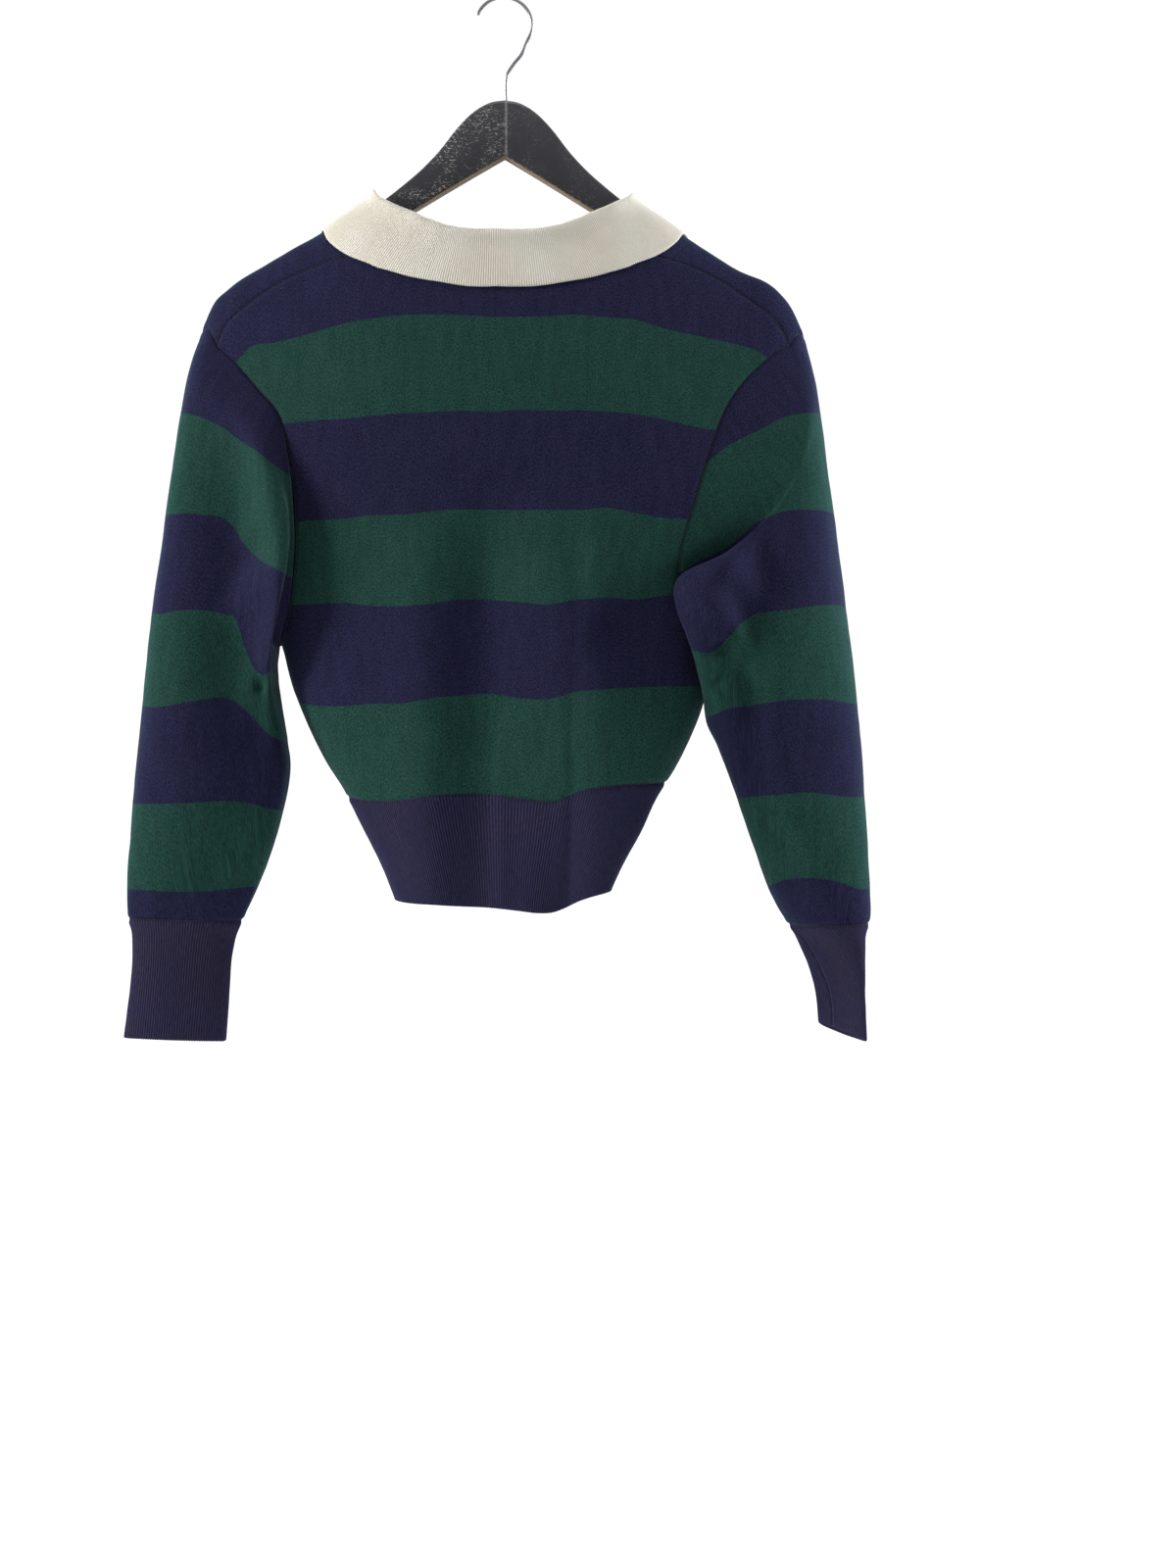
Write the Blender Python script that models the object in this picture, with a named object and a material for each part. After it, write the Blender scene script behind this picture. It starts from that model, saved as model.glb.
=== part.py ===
"""A knitted sweater with a rib collar, hung on a wooden hanger.

Metres, +Z up. X runs to the right as the back of the sweater is looked at, and Y runs from its
back to its front. The origin is the inside top of the hanger's hook, where a rail would carry it.

The garment is one skin, worked out from tables of its sections and cut along its seams. Each
piece of that skin gets its wall inwards, so that neighbours meet edge to edge.
"""

import math

import bpy
import numpy as np

# --- Driving sizes ---------------------------------------------------------------------------
CLOTH = 0.002  # wall of the knit
COLLAR_CLOTH = 0.0022
SEAM_GAP = 0.0006  # between two pieces that are sewn together
COLLAR_GAP = 0.0006  # between the neckline and the foot of the collar
SHOULDER_FALL = 0.25  # height in which the shoulders' thin top opens to the full depth
ROUNDNESS = 0.8  # 1 makes the torso's level sections ellipses, less makes them fuller
SECTION_ROUNDNESS = 0.9  # the same for a sleeve's sections
BOW_POWER = 3  # by which a section's bow fades towards its outer and inner line
SETTLE_ROUNDS = 60  # rounds in which width and height on the shoulders settle on each other
SHARP = math.radians(50)  # edges that turn by more stay sharp

# How many cells each stretch of an edge has; pieces that share the edge share the number.
YOKE_ROWS = 4  # over the shoulder, from its seam on the back to the ridge
ARM_BACK_ROWS = 13  # armhole, from the shoulder seam down the back to the underarm
ARM_FRONT_ROWS = 12  # armhole, from the ridge down the front to the underarm
SIDE_ROWS = 5  # side seam
SHOULDER_COLUMNS = 10
NECK_COLUMNS = 8  # back neckline
V_ROWS = 8  # one side of the V neck
HEM_ROWS = 4
SECTION_ROWS = 2  # between two listed sections of a sleeve
PANEL_SAG = 0.12  # how far the rows of a panel's cells dip between its sides, in places down
DIP_PEAK = 4 / 27  # the most that v * v * (1 - v) reaches
EDGE_FADE = 3  # power by which the shape of a panel's top and bottom fades between them

LEFT, RIGHT = -1, 1
BACK, FRONT = -1, 1


def table(names, *rows):
    """A short table with named columns, one row for each section, point or fold."""
    return {name: np.array(values) for name, values in zip(names.split(), zip(*rows))}


# Heights of the shoulders' top line, by the distance from the middle.
RIDGE = table(
    "out left right",
    (0.0000, -0.1350, -0.1350),
    (0.0500, -0.1398, -0.1420),
    (0.1040, -0.1576, -0.1610),
    (0.1400, -0.1803, -0.1838),
    (0.1800, -0.2034, -0.2092),
    (0.2120, -0.2240, -0.2264),
    (0.2225, -0.2345, -0.2400),
    (0.2335, -0.2600, -0.2668),
    (0.2500, -0.3200, -0.3240),
)

# Half widths and half depth of the torso and hem band at each height.
TORSO = table(
    "z left right depth",
    (-0.7020, 0.0800, 0.0765, 0.0700),
    (-0.6700, 0.0925, 0.0900, 0.0725),
    (-0.6400, 0.1070, 0.1060, 0.0735),
    (-0.6130, 0.1205, 0.1190, 0.0750),
    (-0.5900, 0.1345, 0.1330, 0.0775),
    (-0.5600, 0.1500, 0.1475, 0.0790),
    (-0.5300, 0.1620, 0.1570, 0.0800),
    (-0.5000, 0.1695, 0.1620, 0.0800),
    (-0.4600, 0.1800, 0.1740, 0.0795),
    (-0.4000, 0.2000, 0.1960, 0.0780),
    (-0.3300, 0.2260, 0.2240, 0.0765),
    (-0.2700, 0.2470, 0.2470, 0.0750),
    (-0.1300, 0.2470, 0.2470, 0.0740),
)

# Armhole seam from the shoulder's tip to the underarm; the second row is where the shoulder
# seam meets it on the back.
ARMHOLE = {
    LEFT: table(
        "x z",
        (-0.2335, -0.2600),
        (-0.2170, -0.2715),
        (-0.2060, -0.2815),
        (-0.1860, -0.3045),
        (-0.1660, -0.3310),
        (-0.1570, -0.3760),
        (-0.1545, -0.4200),
        (-0.1590, -0.4630),
        (-0.1697, -0.4990),
    ),
    RIGHT: table(
        "x z",
        (0.2320, -0.2640),
        (0.2180, -0.2705),
        (0.2000, -0.2830),
        (0.1840, -0.2990),
        (0.1680, -0.3240),
        (0.1540, -0.3640),
        (0.1480, -0.4100),
        (0.1510, -0.4560),
        (0.1622, -0.4990),
    ),
}

# Shoulder seam, which lies on the back, from the neck out to the armhole.
SHOULDER_SEAM = table(
    "out z",
    (0.0630, -0.1905),
    (0.0850, -0.1960),
    (0.1105, -0.2030),
    (0.1430, -0.2115),
    (0.1720, -0.2250),
    (0.1990, -0.2440),
    (0.2130, -0.2585),
)

# Neckline and the collar's free edge beside it, from the middle of the back round to the
# bottom of the V, with the height of the collar's stand as a share of the full one.
NECK = table(
    "face neck_out neck_z edge_out edge_z stand",
    (BACK, 0.0000, -0.2020, 0.0000, -0.2325, 1.00),
    (BACK, 0.0300, -0.2005, 0.0380, -0.2300, 1.00),
    (BACK, 0.0460, -0.1972, 0.0660, -0.2245, 1.00),
    (BACK, 0.0630, -0.1905, 0.0920, -0.2165, 0.95),
    (BACK, 0.0830, -0.1790, 0.1150, -0.2055, 0.85),
    (BACK, 0.0965, -0.1680, 0.1300, -0.1935, 0.70),
    (FRONT, 0.1040, -0.1602, 0.1390, -0.1814, 0.62),
    (FRONT, 0.1020, -0.1790, 0.1500, -0.2140, 0.62),
    (FRONT, 0.0920, -0.2040, 0.1480, -0.2480, 0.60),
    (FRONT, 0.0720, -0.2360, 0.1310, -0.2810, 0.55),
    (FRONT, 0.0460, -0.2680, 0.1060, -0.3090, 0.48),
    (FRONT, 0.0200, -0.2950, 0.0790, -0.3320, 0.40),
    (FRONT, 0.0030, -0.3090, 0.0560, -0.3480, 0.30),
)
COLLAR_OPENING = 0.15  # share of the neckline's last cell that the collar leaves open
SEAM_AT_NECK = 3  # row of NECK where the shoulder seam starts
RIDGE_AT_NECK = 6  # row of NECK on the shoulder's ridge

# Middle line of the collar where it stands up from the neckline and folds over; the stand's
# share of NECK lowers the heights.
COLLAR_STAND = table(
    "up out",
    (0.0000, 0.0000),
    (0.0048, 0.0003),
    (0.0095, 0.0024),
    (0.0124, 0.0056),
    (0.0126, 0.0086),
    (0.0086, 0.0098),
    (0.0040, 0.0084),
)
# Middle line of the collar where it lies on the shoulders: its share of the way to the free
# edge, and its height over the cloth.
COLLAR_FALL = table(
    "share over",
    (0.06, 0.0056),
    (0.28, 0.0045),
    (0.52, 0.0042),
    (0.77, 0.0040),
    (1.00, 0.0036),
)

# Where the hem band is sewn on, and its lower edge, across the back: places run from -1 at the
# left side to 1 at the right one.
HEM = table(
    "place join bottom",
    (-1.000, -0.6150, -0.6930),
    (-0.830, -0.6178, -0.6940),
    (-0.660, -0.6172, -0.6944),
    (-0.410, -0.6135, -0.6955),
    (-0.040, -0.6128, -0.6970),
    (0.180, -0.6165, -0.6988),
    (0.380, -0.6170, -0.7003),
    (0.480, -0.6105, -0.7000),
    (0.600, -0.6078, -0.6970),
    (0.720, -0.6062, -0.6924),
    (1.000, -0.6040, -0.6866),
)

# Upright folds of the torso: x at the top and foot, height they start and are full at,
# half width to the left and right, and how far they stand out.
FOLDS = table(
    "face x_top x_foot z_start z_full left right out",
    (BACK, 0.048, 0.052, -0.440, -0.620, 0.026, 0.011, 0.0085),
    (BACK, 0.006, 0.010, -0.500, -0.610, 0.014, 0.016, -0.0035),
    (BACK, -0.050, -0.046, -0.480, -0.620, 0.018, 0.022, 0.0040),
    (BACK, -0.092, -0.080, -0.560, -0.640, 0.014, 0.020, -0.0030),
    (FRONT, -0.060, -0.048, -0.420, -0.620, 0.014, 0.026, 0.0080),
    (FRONT, 0.035, 0.030, -0.500, -0.630, 0.022, 0.018, 0.0045),
    (FRONT, -0.005, -0.008, -0.480, -0.620, 0.016, 0.018, -0.0030),
)

# Sections of the sleeves below the armhole: outer and inner line, how far the middle of their
# back and front bows towards the body, their depth to the back and front, the roll of spare
# cloth at the back of the armhole and the valley beside it, how far the back leans out, how far
# the inner line lies towards the back, and how much lower the front hangs than the back.
SECTION_NAMES = "out_x out_z in_x in_z bow_back bow_front back front roll valley skew in_y sink"
SLEEVE = {
    LEFT: table(
        SECTION_NAMES,
        (-0.2402, -0.2860, -0.1745, -0.4985, 0.047, 0.034, 0.0590, 0.053, 0.006, 0.003, 0.0, 0.000, 0.0),
        (-0.2470, -0.3220, -0.1745, -0.5050, 0.053, 0.032, 0.0620, 0.057, 0.012, 0.006, 0.0, 0.002, 0.0),
        (-0.2545, -0.3710, -0.1752, -0.5160, 0.057, 0.028, 0.0620, 0.058, 0.015, 0.009, 0.0, 0.004, 0.0),
        (-0.2628, -0.4275, -0.1736, -0.5310, 0.056, 0.020, 0.0600, 0.057, 0.016, 0.010, 0.0, 0.006, 0.0),
        (-0.2704, -0.4840, -0.1703, -0.5480, 0.032, 0.010, 0.0570, 0.054, 0.012, 0.008, 0.0, 0.008, 0.0),
        (-0.2770, -0.5440, -0.1662, -0.5720, 0.004, 0.002, 0.0520, 0.050, 0.003, 0.002, 0.0, 0.008, 0.0),
        (-0.2822, -0.5970, -0.1648, -0.5990, 0.000, 0.000, 0.0480, 0.047, 0.003, 0.003, 0.0, 0.006, 0.0),
        (-0.2864, -0.6425, -0.1748, -0.6430, 0.000, 0.000, 0.0410, 0.041, 0.003, 0.003, 0.0, 0.003, 0.0),
        (-0.2895, -0.6850, -0.1905, -0.6870, 0.000, 0.000, 0.0290, 0.029, 0.002, 0.002, 0.0, 0.000, 0.0),
        (-0.2886, -0.7085, -0.2018, -0.7100, 0.000, 0.000, 0.0190, 0.020, 0.000, 0.000, 0.0, 0.000, 0.0),
    ),
    RIGHT: table(
        SECTION_NAMES,
        (0.2388, -0.2920, 0.1695, -0.4985, 0.030, 0.032, 0.0520, 0.052, 0.000, 0.002, 0.0, 0.006, 0.0),
        (0.2452, -0.3330, 0.1640, -0.5050, 0.052, 0.030, 0.0600, 0.056, 0.004, 0.004, 0.0, 0.022, 0.0),
        (0.2542, -0.4010, 0.1572, -0.5170, 0.082, 0.025, 0.0760, 0.057, 0.012, 0.005, 0.0, 0.034, 0.0),
        (0.2618, -0.4600, 0.1538, -0.5370, 0.063, 0.016, 0.0740, 0.056, 0.012, 0.004, 0.0, 0.037, 0.0),
        (0.2680, -0.5070, 0.1542, -0.5560, 0.024, 0.006, 0.0640, 0.054, 0.008, 0.003, 0.0, 0.036, 0.0),
        (0.2742, -0.5630, 0.1642, -0.5790, 0.000, 0.000, 0.0520, 0.050, 0.003, 0.002, 0.0, 0.033, 0.0),
        (0.2779, -0.6160, 0.1792, -0.6180, 0.000, 0.000, 0.0490, 0.047, 0.002, 0.002, 0.0, 0.024, 0.0),
        (0.2798, -0.6575, 0.1932, -0.6590, 0.000, 0.000, 0.0450, 0.043, 0.002, 0.002, 0.05, 0.016, 0.0),
        (0.2810, -0.6880, 0.2055, -0.6900, 0.000, 0.000, 0.0380, 0.036, 0.000, 0.002, 0.12, 0.008, 0.0),
        (0.2792, -0.7115, 0.2212, -0.7135, 0.000, 0.000, 0.0330, 0.031, 0.000, 0.000, 0.20, 0.000, 0.0),
    ),
}
CUFF = {
    LEFT: table(
        SECTION_NAMES,
        (-0.2862, -0.7180, -0.2062, -0.7195, 0.0, 0.0, 0.0165, 0.0175, 0.0, 0.000, 0.0, 0.0, 0.0),
        (-0.2855, -0.7325, -0.2092, -0.7330, 0.0, 0.0, 0.0155, 0.0165, 0.0, 0.001, 0.0, 0.0, 0.0),
        (-0.2892, -0.7740, -0.2122, -0.7740, 0.0, 0.0, 0.0145, 0.0150, 0.0, 0.002, 0.0, 0.0, 0.0),
        (-0.2922, -0.7990, -0.2144, -0.8018, 0.0, 0.0, 0.0140, 0.0145, 0.0, 0.001, 0.0, 0.0, 0.0),
    ),
    RIGHT: table(
        SECTION_NAMES,
        (0.2725, -0.7215, 0.2310, -0.7240, 0.0, 0.0, 0.0320, 0.031, 0.0, 0.000, 0.40, 0.0, 0.00),
        (0.2680, -0.7440, 0.2435, -0.7450, 0.0, 0.0, 0.0320, 0.031, 0.0, 0.000, 0.48, 0.0, -0.02),
        (0.2665, -0.7710, 0.2515, -0.7680, 0.0, 0.0, 0.0330, 0.032, 0.0, 0.000, 0.44, 0.0, -0.05),
        (0.2680, -0.7985, 0.2530, -0.7910, 0.0, 0.0, 0.0330, 0.032, 0.0, 0.000, 0.42, 0.0, -0.09),
    ),
}
YOKE_TURN = 0.6  # angle round a sleeve that belongs to the part over the shoulder
ROLL_AT, ROLL_WIDTH = 0.42, 0.34  # places across a sleeve run from -1, outside, to 1, inside
VALLEY_AT, VALLEY_WIDTH = -0.08, 0.16

# The wooden hanger by the distance from its middle: top line, underside and half thickness.
HANGER = table(
    "out top bottom half",
    (0.0000, -0.0793, -0.1231, 0.0070),
    (0.0110, -0.0812, -0.1296, 0.0070),
    (0.0230, -0.0879, -0.1367, 0.0070),
    (0.0360, -0.1007, -0.1445, 0.0070),
    (0.0500, -0.1186, -0.1530, 0.0070),
    (0.0640, -0.1334, -0.1616, 0.0069),
    (0.0780, -0.1455, -0.1704, 0.0068),
    (0.0950, -0.1590, -0.1812, 0.0066),
    (0.1200, -0.1784, -0.1960, 0.0063),
    (0.1500, -0.1950, -0.2127, 0.0060),
    (0.1800, -0.2120, -0.2290, 0.0056),
    (0.2040, -0.2262, -0.2412, 0.0052),
    (0.2140, -0.2335, -0.2452, 0.0046),
    (0.2180, -0.2380, -0.2445, 0.0034),
)
HANGER_MIDDLE = 0.0008  # the hanger's own middle, beside the hook's
HANGER_TILT = 0.012  # slope by which it hangs lower to the right
HANGER_EDGE = 0.0022  # its edges are taken off by this much

WIRE = 0.0026  # hook's wire
HOOK_RADIUS = 0.0204  # inside of its curve
SHANK_X = 0.002  # where the wire leaves the wood
SHANK_DEPTH = 0.018  # wire inside the wood
BORE_ROOM = 0.0003
# The hook's wire from the wood up to where its round top begins.
SHANK = table(
    "x z",
    (SHANK_X, -0.0793 - SHANK_DEPTH),
    (SHANK_X, -0.0793),
    (SHANK_X, -0.0640),
    (0.0030, -0.0580),
    (0.0075, -0.0505),
    (0.0135, -0.0430),
)
HOOK_FROM, HOOK_TO = math.radians(-33), math.radians(158)
HOOK_STEPS = 15

# Colours and surface, one finish for each piece: colour, roughness, metallic.
FINISHES = {
    "green_knit": ((0.016, 0.055, 0.044), 0.9, 0.0),
    "navy_knit": ((0.019, 0.019, 0.052), 0.9, 0.0),
    "cream_rib": ((0.720, 0.680, 0.570), 0.85, 0.0),
    "black_paint": ((0.035, 0.035, 0.040), 0.5, 0.0),
    "steel": ((0.620, 0.620, 0.640), 0.25, 1.0),
}


# --- Curves and edges ------------------------------------------------------------------------
def curve(knots, values, at):
    """A smooth curve through the values at the knots, read at one place or many."""
    values = np.asarray(values, float)
    flat = values.reshape(len(values), -1)
    step = np.diff(knots)[:, None]
    slope = np.diff(flat, axis=0) / step
    inner = (slope[:-1] * step[1:] + slope[1:] * step[:-1]) / (step[:-1] + step[1:])
    tangent = np.concatenate([slope[:1], inner, slope[-1:]])
    at = np.clip(at, knots[0], knots[-1])
    i = np.clip(np.searchsorted(knots, at, side="right") - 1, 0, len(step) - 1)
    t = ((at - np.asarray(knots)[i]) / step[i, 0])[..., None]
    read = (
        (2 * t**3 - 3 * t**2 + 1) * flat[i]
        + (t**3 - 2 * t**2 + t) * step[i] * tangent[i]
        + (3 * t**2 - 2 * t**3) * flat[i + 1]
        + (t**3 - t**2) * step[i] * tangent[i + 1]
    )
    return read.reshape(np.shape(at) + values.shape[1:])


def even(points, cells):
    """Points at even steps along a smooth curve through the given ones, by their first two values."""
    points = np.asarray(points, float)
    length = np.linalg.norm(np.diff(points[:, :2], axis=0), axis=1)
    along = np.concatenate([[0.0], np.cumsum(length)])
    return curve(along, points, np.linspace(0.0, along[-1], cells + 1))


def joined(*edges):
    """One edge from several that follow each other and share their end points."""
    return np.concatenate([edges[0]] + [edge[1:] for edge in edges[1:]])


# --- The torso's surface ---------------------------------------------------------------------
# A place on it is (across, down): across is an angle, a quarter turn left at the left side seam
# and a quarter turn right at the right one. Down is 0 on the ridge of the shoulders and grows
# down the front; under 0 it is on the back, and 1 either way is SHOULDER_FALL under the ridge.
def by_side(x, rows, key, at):
    """Reads a table's left or right column, whichever side x lies on."""
    left, right = (curve(rows[key], rows[side], at) for side in ("left", "right"))
    return np.where(np.asarray(x) < 0, left, right)


def half_width(x, z):
    return by_side(x, TORSO, "z", z)


def ridge_height(x):
    return by_side(x, RIDGE, "out", np.abs(x))


def torso_place(x, z, face):
    """(across, down) of the torso's surface at x and height z, on its back or front."""
    across = np.arcsin(np.clip(x / half_width(x, z), -1, 1))
    fall = np.maximum(ridge_height(x) - z, 0)
    turn = np.arccos(np.clip(1 - fall / SHOULDER_FALL, 0, 1)) / (math.pi / 2)
    straight = np.maximum(fall - SHOULDER_FALL, 0) / (SHOULDER_FALL * math.pi / 2)
    return np.stack([across, face * (turn + straight)], axis=-1)


def fold_height(x, z, face):
    """How far the upright folds stand out from the plain torso."""
    out = np.zeros(np.shape(x))
    for i, fold_face in enumerate(FOLDS["face"]):
        row = {name: values[i] for name, values in FOLDS.items()}
        grown = np.clip((row["z_start"] - z) / (row["z_start"] - row["z_full"]), 0, 1)
        middle = row["x_top"] + (row["x_foot"] - row["x_top"]) * grown
        width = np.where(x < middle, row["left"], row["right"])
        rise = grown**2 * (3 - 2 * grown) * np.exp(-(((x - middle) / width) ** 2))
        out += np.where(face == fold_face, row["out"] * rise, 0)
    return out


def torso(place):
    """Points of the torso's outside at the given places."""
    across, down = place[..., 0], place[..., 1]
    turn = np.minimum(np.abs(down), 1) * math.pi / 2
    past = np.maximum(np.abs(down) - 1, 0) * math.pi / 2
    fall = SHOULDER_FALL * (1 - np.cos(turn) + past)
    z = RIDGE["left"][0] - fall
    for _ in range(SETTLE_ROUNDS):
        x = half_width(across, z) * np.sin(across)
        z = ridge_height(x) - fall
    face = np.sign(down)
    flank = np.clip(np.cos(across), 0, 1) ** ROUNDNESS
    depth = curve(TORSO["z"], TORSO["depth"], z) * flank * np.sin(turn)
    depth = depth + fold_height(x, z, face) * flank
    return np.stack([x, face * depth, z], axis=-1)


def torso_normal(place):
    """Unit vectors out of the torso at the given places."""
    nudge = 1e-3
    right = torso(place + [nudge, 0]) - torso(place - [nudge, 0])
    down = torso(place + [0, nudge]) - torso(place - [0, nudge])
    normal = np.cross(right, down)
    return normal / np.linalg.norm(normal, axis=-1, keepdims=True)


# --- Seams, as places on the torso -----------------------------------------------------------
def armhole(side, face):
    rows = ARMHOLE[side]
    places = torso_place(rows["x"], rows["z"], face)
    places[0, 1] = 0.0
    places[-1, 0] = side * math.pi / 2
    return places


def armhole_over(side):
    """From the shoulder's tip to the end of the shoulder seam."""
    return even(armhole(side, BACK)[:2], YOKE_ROWS)


def armhole_back(side):
    return even(armhole(side, BACK)[1:], ARM_BACK_ROWS)


def armhole_front(side):
    return even(armhole(side, FRONT), ARM_FRONT_ROWS)


def side_seam(side, face):
    foot = hem_line("join", side * math.pi / 2, BACK)
    heights = np.linspace(ARMHOLE[side]["z"][-1], foot, SIDE_ROWS + 1)
    places = torso_place(half_width(side, heights) * side, heights, face)
    places[:, 0] = side * math.pi / 2
    return places


def hem_line(line, across, face):
    """Height of the join or the lower edge of the hem band, plainly sloping on the front."""
    if face == BACK:
        return curve(HEM["place"], HEM[line], np.sin(across))
    return np.interp(np.sin(across), HEM["place"][[0, -1]], HEM[line][[0, -1]])


def hem_level(across, face, share):
    """Places round the hem band, from its join at share 0 to its lower edge at 1."""
    z = (1 - share) * hem_line("join", across, face) + share * hem_line("bottom", across, face)
    places = torso_place(half_width(across, z) * np.sin(across), z, face)
    places[..., 0] = across
    return places


def shoulder_seam(side):
    """From the neck out to the armhole."""
    points = torso_place(side * SHOULDER_SEAM["out"], SHOULDER_SEAM["z"], BACK)
    return even(np.concatenate([points, armhole(side, BACK)[1:2]]), SHOULDER_COLUMNS)


def neck_rows(side):
    """Rows of NECK from the middle of the back to the bottom of the V: the neckline's place,
    the free edge's place and the height of the stand."""
    neck, edge = (
        torso_place(side * NECK[line + "_out"], NECK[line + "_z"], NECK["face"])
        for line in ("neck", "edge")
    )
    neck[RIDGE_AT_NECK, 1] = edge[RIDGE_AT_NECK, 1] = 0.0
    return np.concatenate([neck, edge, NECK["stand"][:, None]], axis=1)


def back_neck():
    left, right = (neck_rows(side)[: SEAM_AT_NECK + 1] for side in (LEFT, RIGHT))
    return even(joined(left[::-1], right), NECK_COLUMNS)


def yoke_neck(side):
    """Neckline from the shoulder seam up to the ridge."""
    return even(neck_rows(side)[SEAM_AT_NECK : RIDGE_AT_NECK + 1], YOKE_ROWS)


def v_neck(side):
    """Neckline from the ridge down to the bottom of the V."""
    rows = neck_rows(side)[RIDGE_AT_NECK:]
    rows[-1, 0] = 0.0
    return even(rows, V_ROWS)


def front_middle():
    """From the bottom of the V down the middle of the front to the hem band."""
    rows = ARM_FRONT_ROWS + SIDE_ROWS - V_ROWS
    return np.linspace(v_neck(LEFT)[-1, :2], hem_level(0.0, FRONT, 0), rows + 1)


def ridge_line(side):
    """Ridge of the shoulder from the neck to its tip."""
    return even([yoke_neck(side)[-1, :2], armhole(side, FRONT)[0]], SHOULDER_COLUMNS)


# --- Patches ---------------------------------------------------------------------------------
def coons(top, bottom, left, right, fade=1, sag=0.0):
    """A grid of places between four edges: top and bottom run right, left and right run down."""
    u = np.linspace(0, 1, len(top))[None, :, None]
    v = np.linspace(0, 1, len(left))[:, None, None]
    between_sides = (1 - u) * left[:, None] + u * right[:, None]
    top_shape = top - ((1 - u) * top[0] + u * top[-1])
    bottom_shape = bottom - ((1 - u) * bottom[0] + u * bottom[-1])
    grid = between_sides + (1 - v) ** fade * top_shape + v**fade * bottom_shape
    dip = 4 * u * (1 - u) * v**2 * (1 - v) / DIP_PEAK
    return grid + dip * [0.0, sag]


def back_patches():
    top = joined(shoulder_seam(LEFT)[::-1], back_neck()[:, :2], shoulder_seam(RIGHT))
    across = np.linspace(-math.pi / 2, math.pi / 2, len(top))
    sides = [joined(armhole_back(side), side_seam(side, BACK)) for side in (LEFT, RIGHT)]
    places = coons(top, hem_level(across, BACK, 0), *sides, EDGE_FADE, -PANEL_SAG)
    return [(torso(places), False)]


def front_patches():
    patches = []
    for side in (LEFT, RIGHT):
        seam, ridge = shoulder_seam(side), ridge_line(side)
        neck, arm = yoke_neck(side)[:, :2], armhole_over(side)[::-1]
        if side == LEFT:
            patches.append(coons(seam[::-1], ridge[::-1], arm, neck))
        else:
            patches.append(coons(seam, ridge, neck, arm))
        outer = joined(armhole_front(side), side_seam(side, FRONT))
        middle = joined(v_neck(side)[:, :2], front_middle())
        hem = hem_level(np.linspace(0, side * math.pi / 2, len(ridge)), FRONT, 0)
        if side == LEFT:
            patches.append(coons(ridge[::-1], hem[::-1], outer, middle, EDGE_FADE, PANEL_SAG))
        else:
            patches.append(coons(ridge, hem, middle, outer, EDGE_FADE, PANEL_SAG))
    return [(torso(patch), True) for patch in patches]


def hem_patches():
    back_columns = 2 * SHOULDER_COLUMNS + NECK_COLUMNS
    front_columns = 2 * SHOULDER_COLUMNS
    shares = np.linspace(0, 1, HEM_ROWS + 1)
    patches = []
    for face, columns in ((BACK, back_columns), (FRONT, front_columns)):
        across = np.linspace(-math.pi / 2, math.pi / 2, columns + 1)
        levels = np.stack([hem_level(across, face, share) for share in shares])
        patches.append((torso(levels), face == FRONT))
    return patches


# --- Sleeves and cuffs -----------------------------------------------------------------------
def armhole_ring(side):
    """The armhole seam from the shoulder's tip, down the back and up the front again."""
    back = joined(armhole_over(side), armhole_back(side))
    return torso(joined(back, armhole_front(side)[::-1]))


def section_ring(row, side):
    """A closed section of a sleeve, over the same turns as the armhole's points."""
    back_turns = joined(
        np.linspace(0, YOKE_TURN, YOKE_ROWS + 1), np.linspace(YOKE_TURN, math.pi, ARM_BACK_ROWS + 1)
    )
    front_turns = np.linspace(math.pi, 2 * math.pi, ARM_FRONT_ROWS + 1)
    turn = joined(back_turns, front_turns)
    across, facing = -np.cos(turn), np.sin(turn)
    share = (across + 1) / 2
    run_x, run_z = row["in_x"] - row["out_x"], row["in_z"] - row["out_z"]
    run = math.hypot(run_x, run_z)
    bow = np.where(facing > 0, row["bow_back"], row["bow_front"]) * np.abs(facing) ** BOW_POWER
    out = np.where(facing > 0, row["back"], row["front"]) * np.abs(facing) ** SECTION_ROUNDNESS
    behind = np.maximum(facing, 0)
    out += row["roll"] * behind * np.exp(-(((across - ROLL_AT) / ROLL_WIDTH) ** 2))
    out -= row["valley"] * behind * np.exp(-(((across - VALLEY_AT) / VALLEY_WIDTH) ** 2))
    y = -np.sign(facing) * out - row["in_y"] * share**2
    x = row["out_x"] + share * run_x - side * bow * abs(run_z) / run - y * row["skew"]
    z = row["out_z"] + share * run_z + bow * abs(run_x) / run - y * row["sink"]
    return np.stack([x, y, z], axis=-1)


def section_rings(rows, side):
    names = SECTION_NAMES.split()
    return [
        section_ring({name: rows[name][i] for name in names}, side) for i in range(len(rows["skew"]))
    ]


def loft(rings, first, last):
    """Rows through the rings from one of them to another, with more between each two."""
    rings = np.stack(rings)
    step = np.linalg.norm(np.diff(rings[:, 0], axis=0), axis=1)
    along = np.concatenate([[0.0], np.cumsum(step)])
    stops = np.interp(
        np.linspace(first, last, (last - first) * SECTION_ROWS + 1), np.arange(len(along)), along
    )
    return curve(along, rings, stops)


def sleeve_patches(side):
    rings = [armhole_ring(side)] + section_rings(SLEEVE[side], side) + section_rings(CUFF[side], side)
    cuff_start = len(SLEEVE[side]["skew"])
    sleeve = loft(rings, 0, cuff_start)
    cuff = loft(rings, cuff_start, len(rings) - 1)
    flip = side == RIGHT
    return [(sleeve, flip)], [(cuff, flip)]


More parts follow.
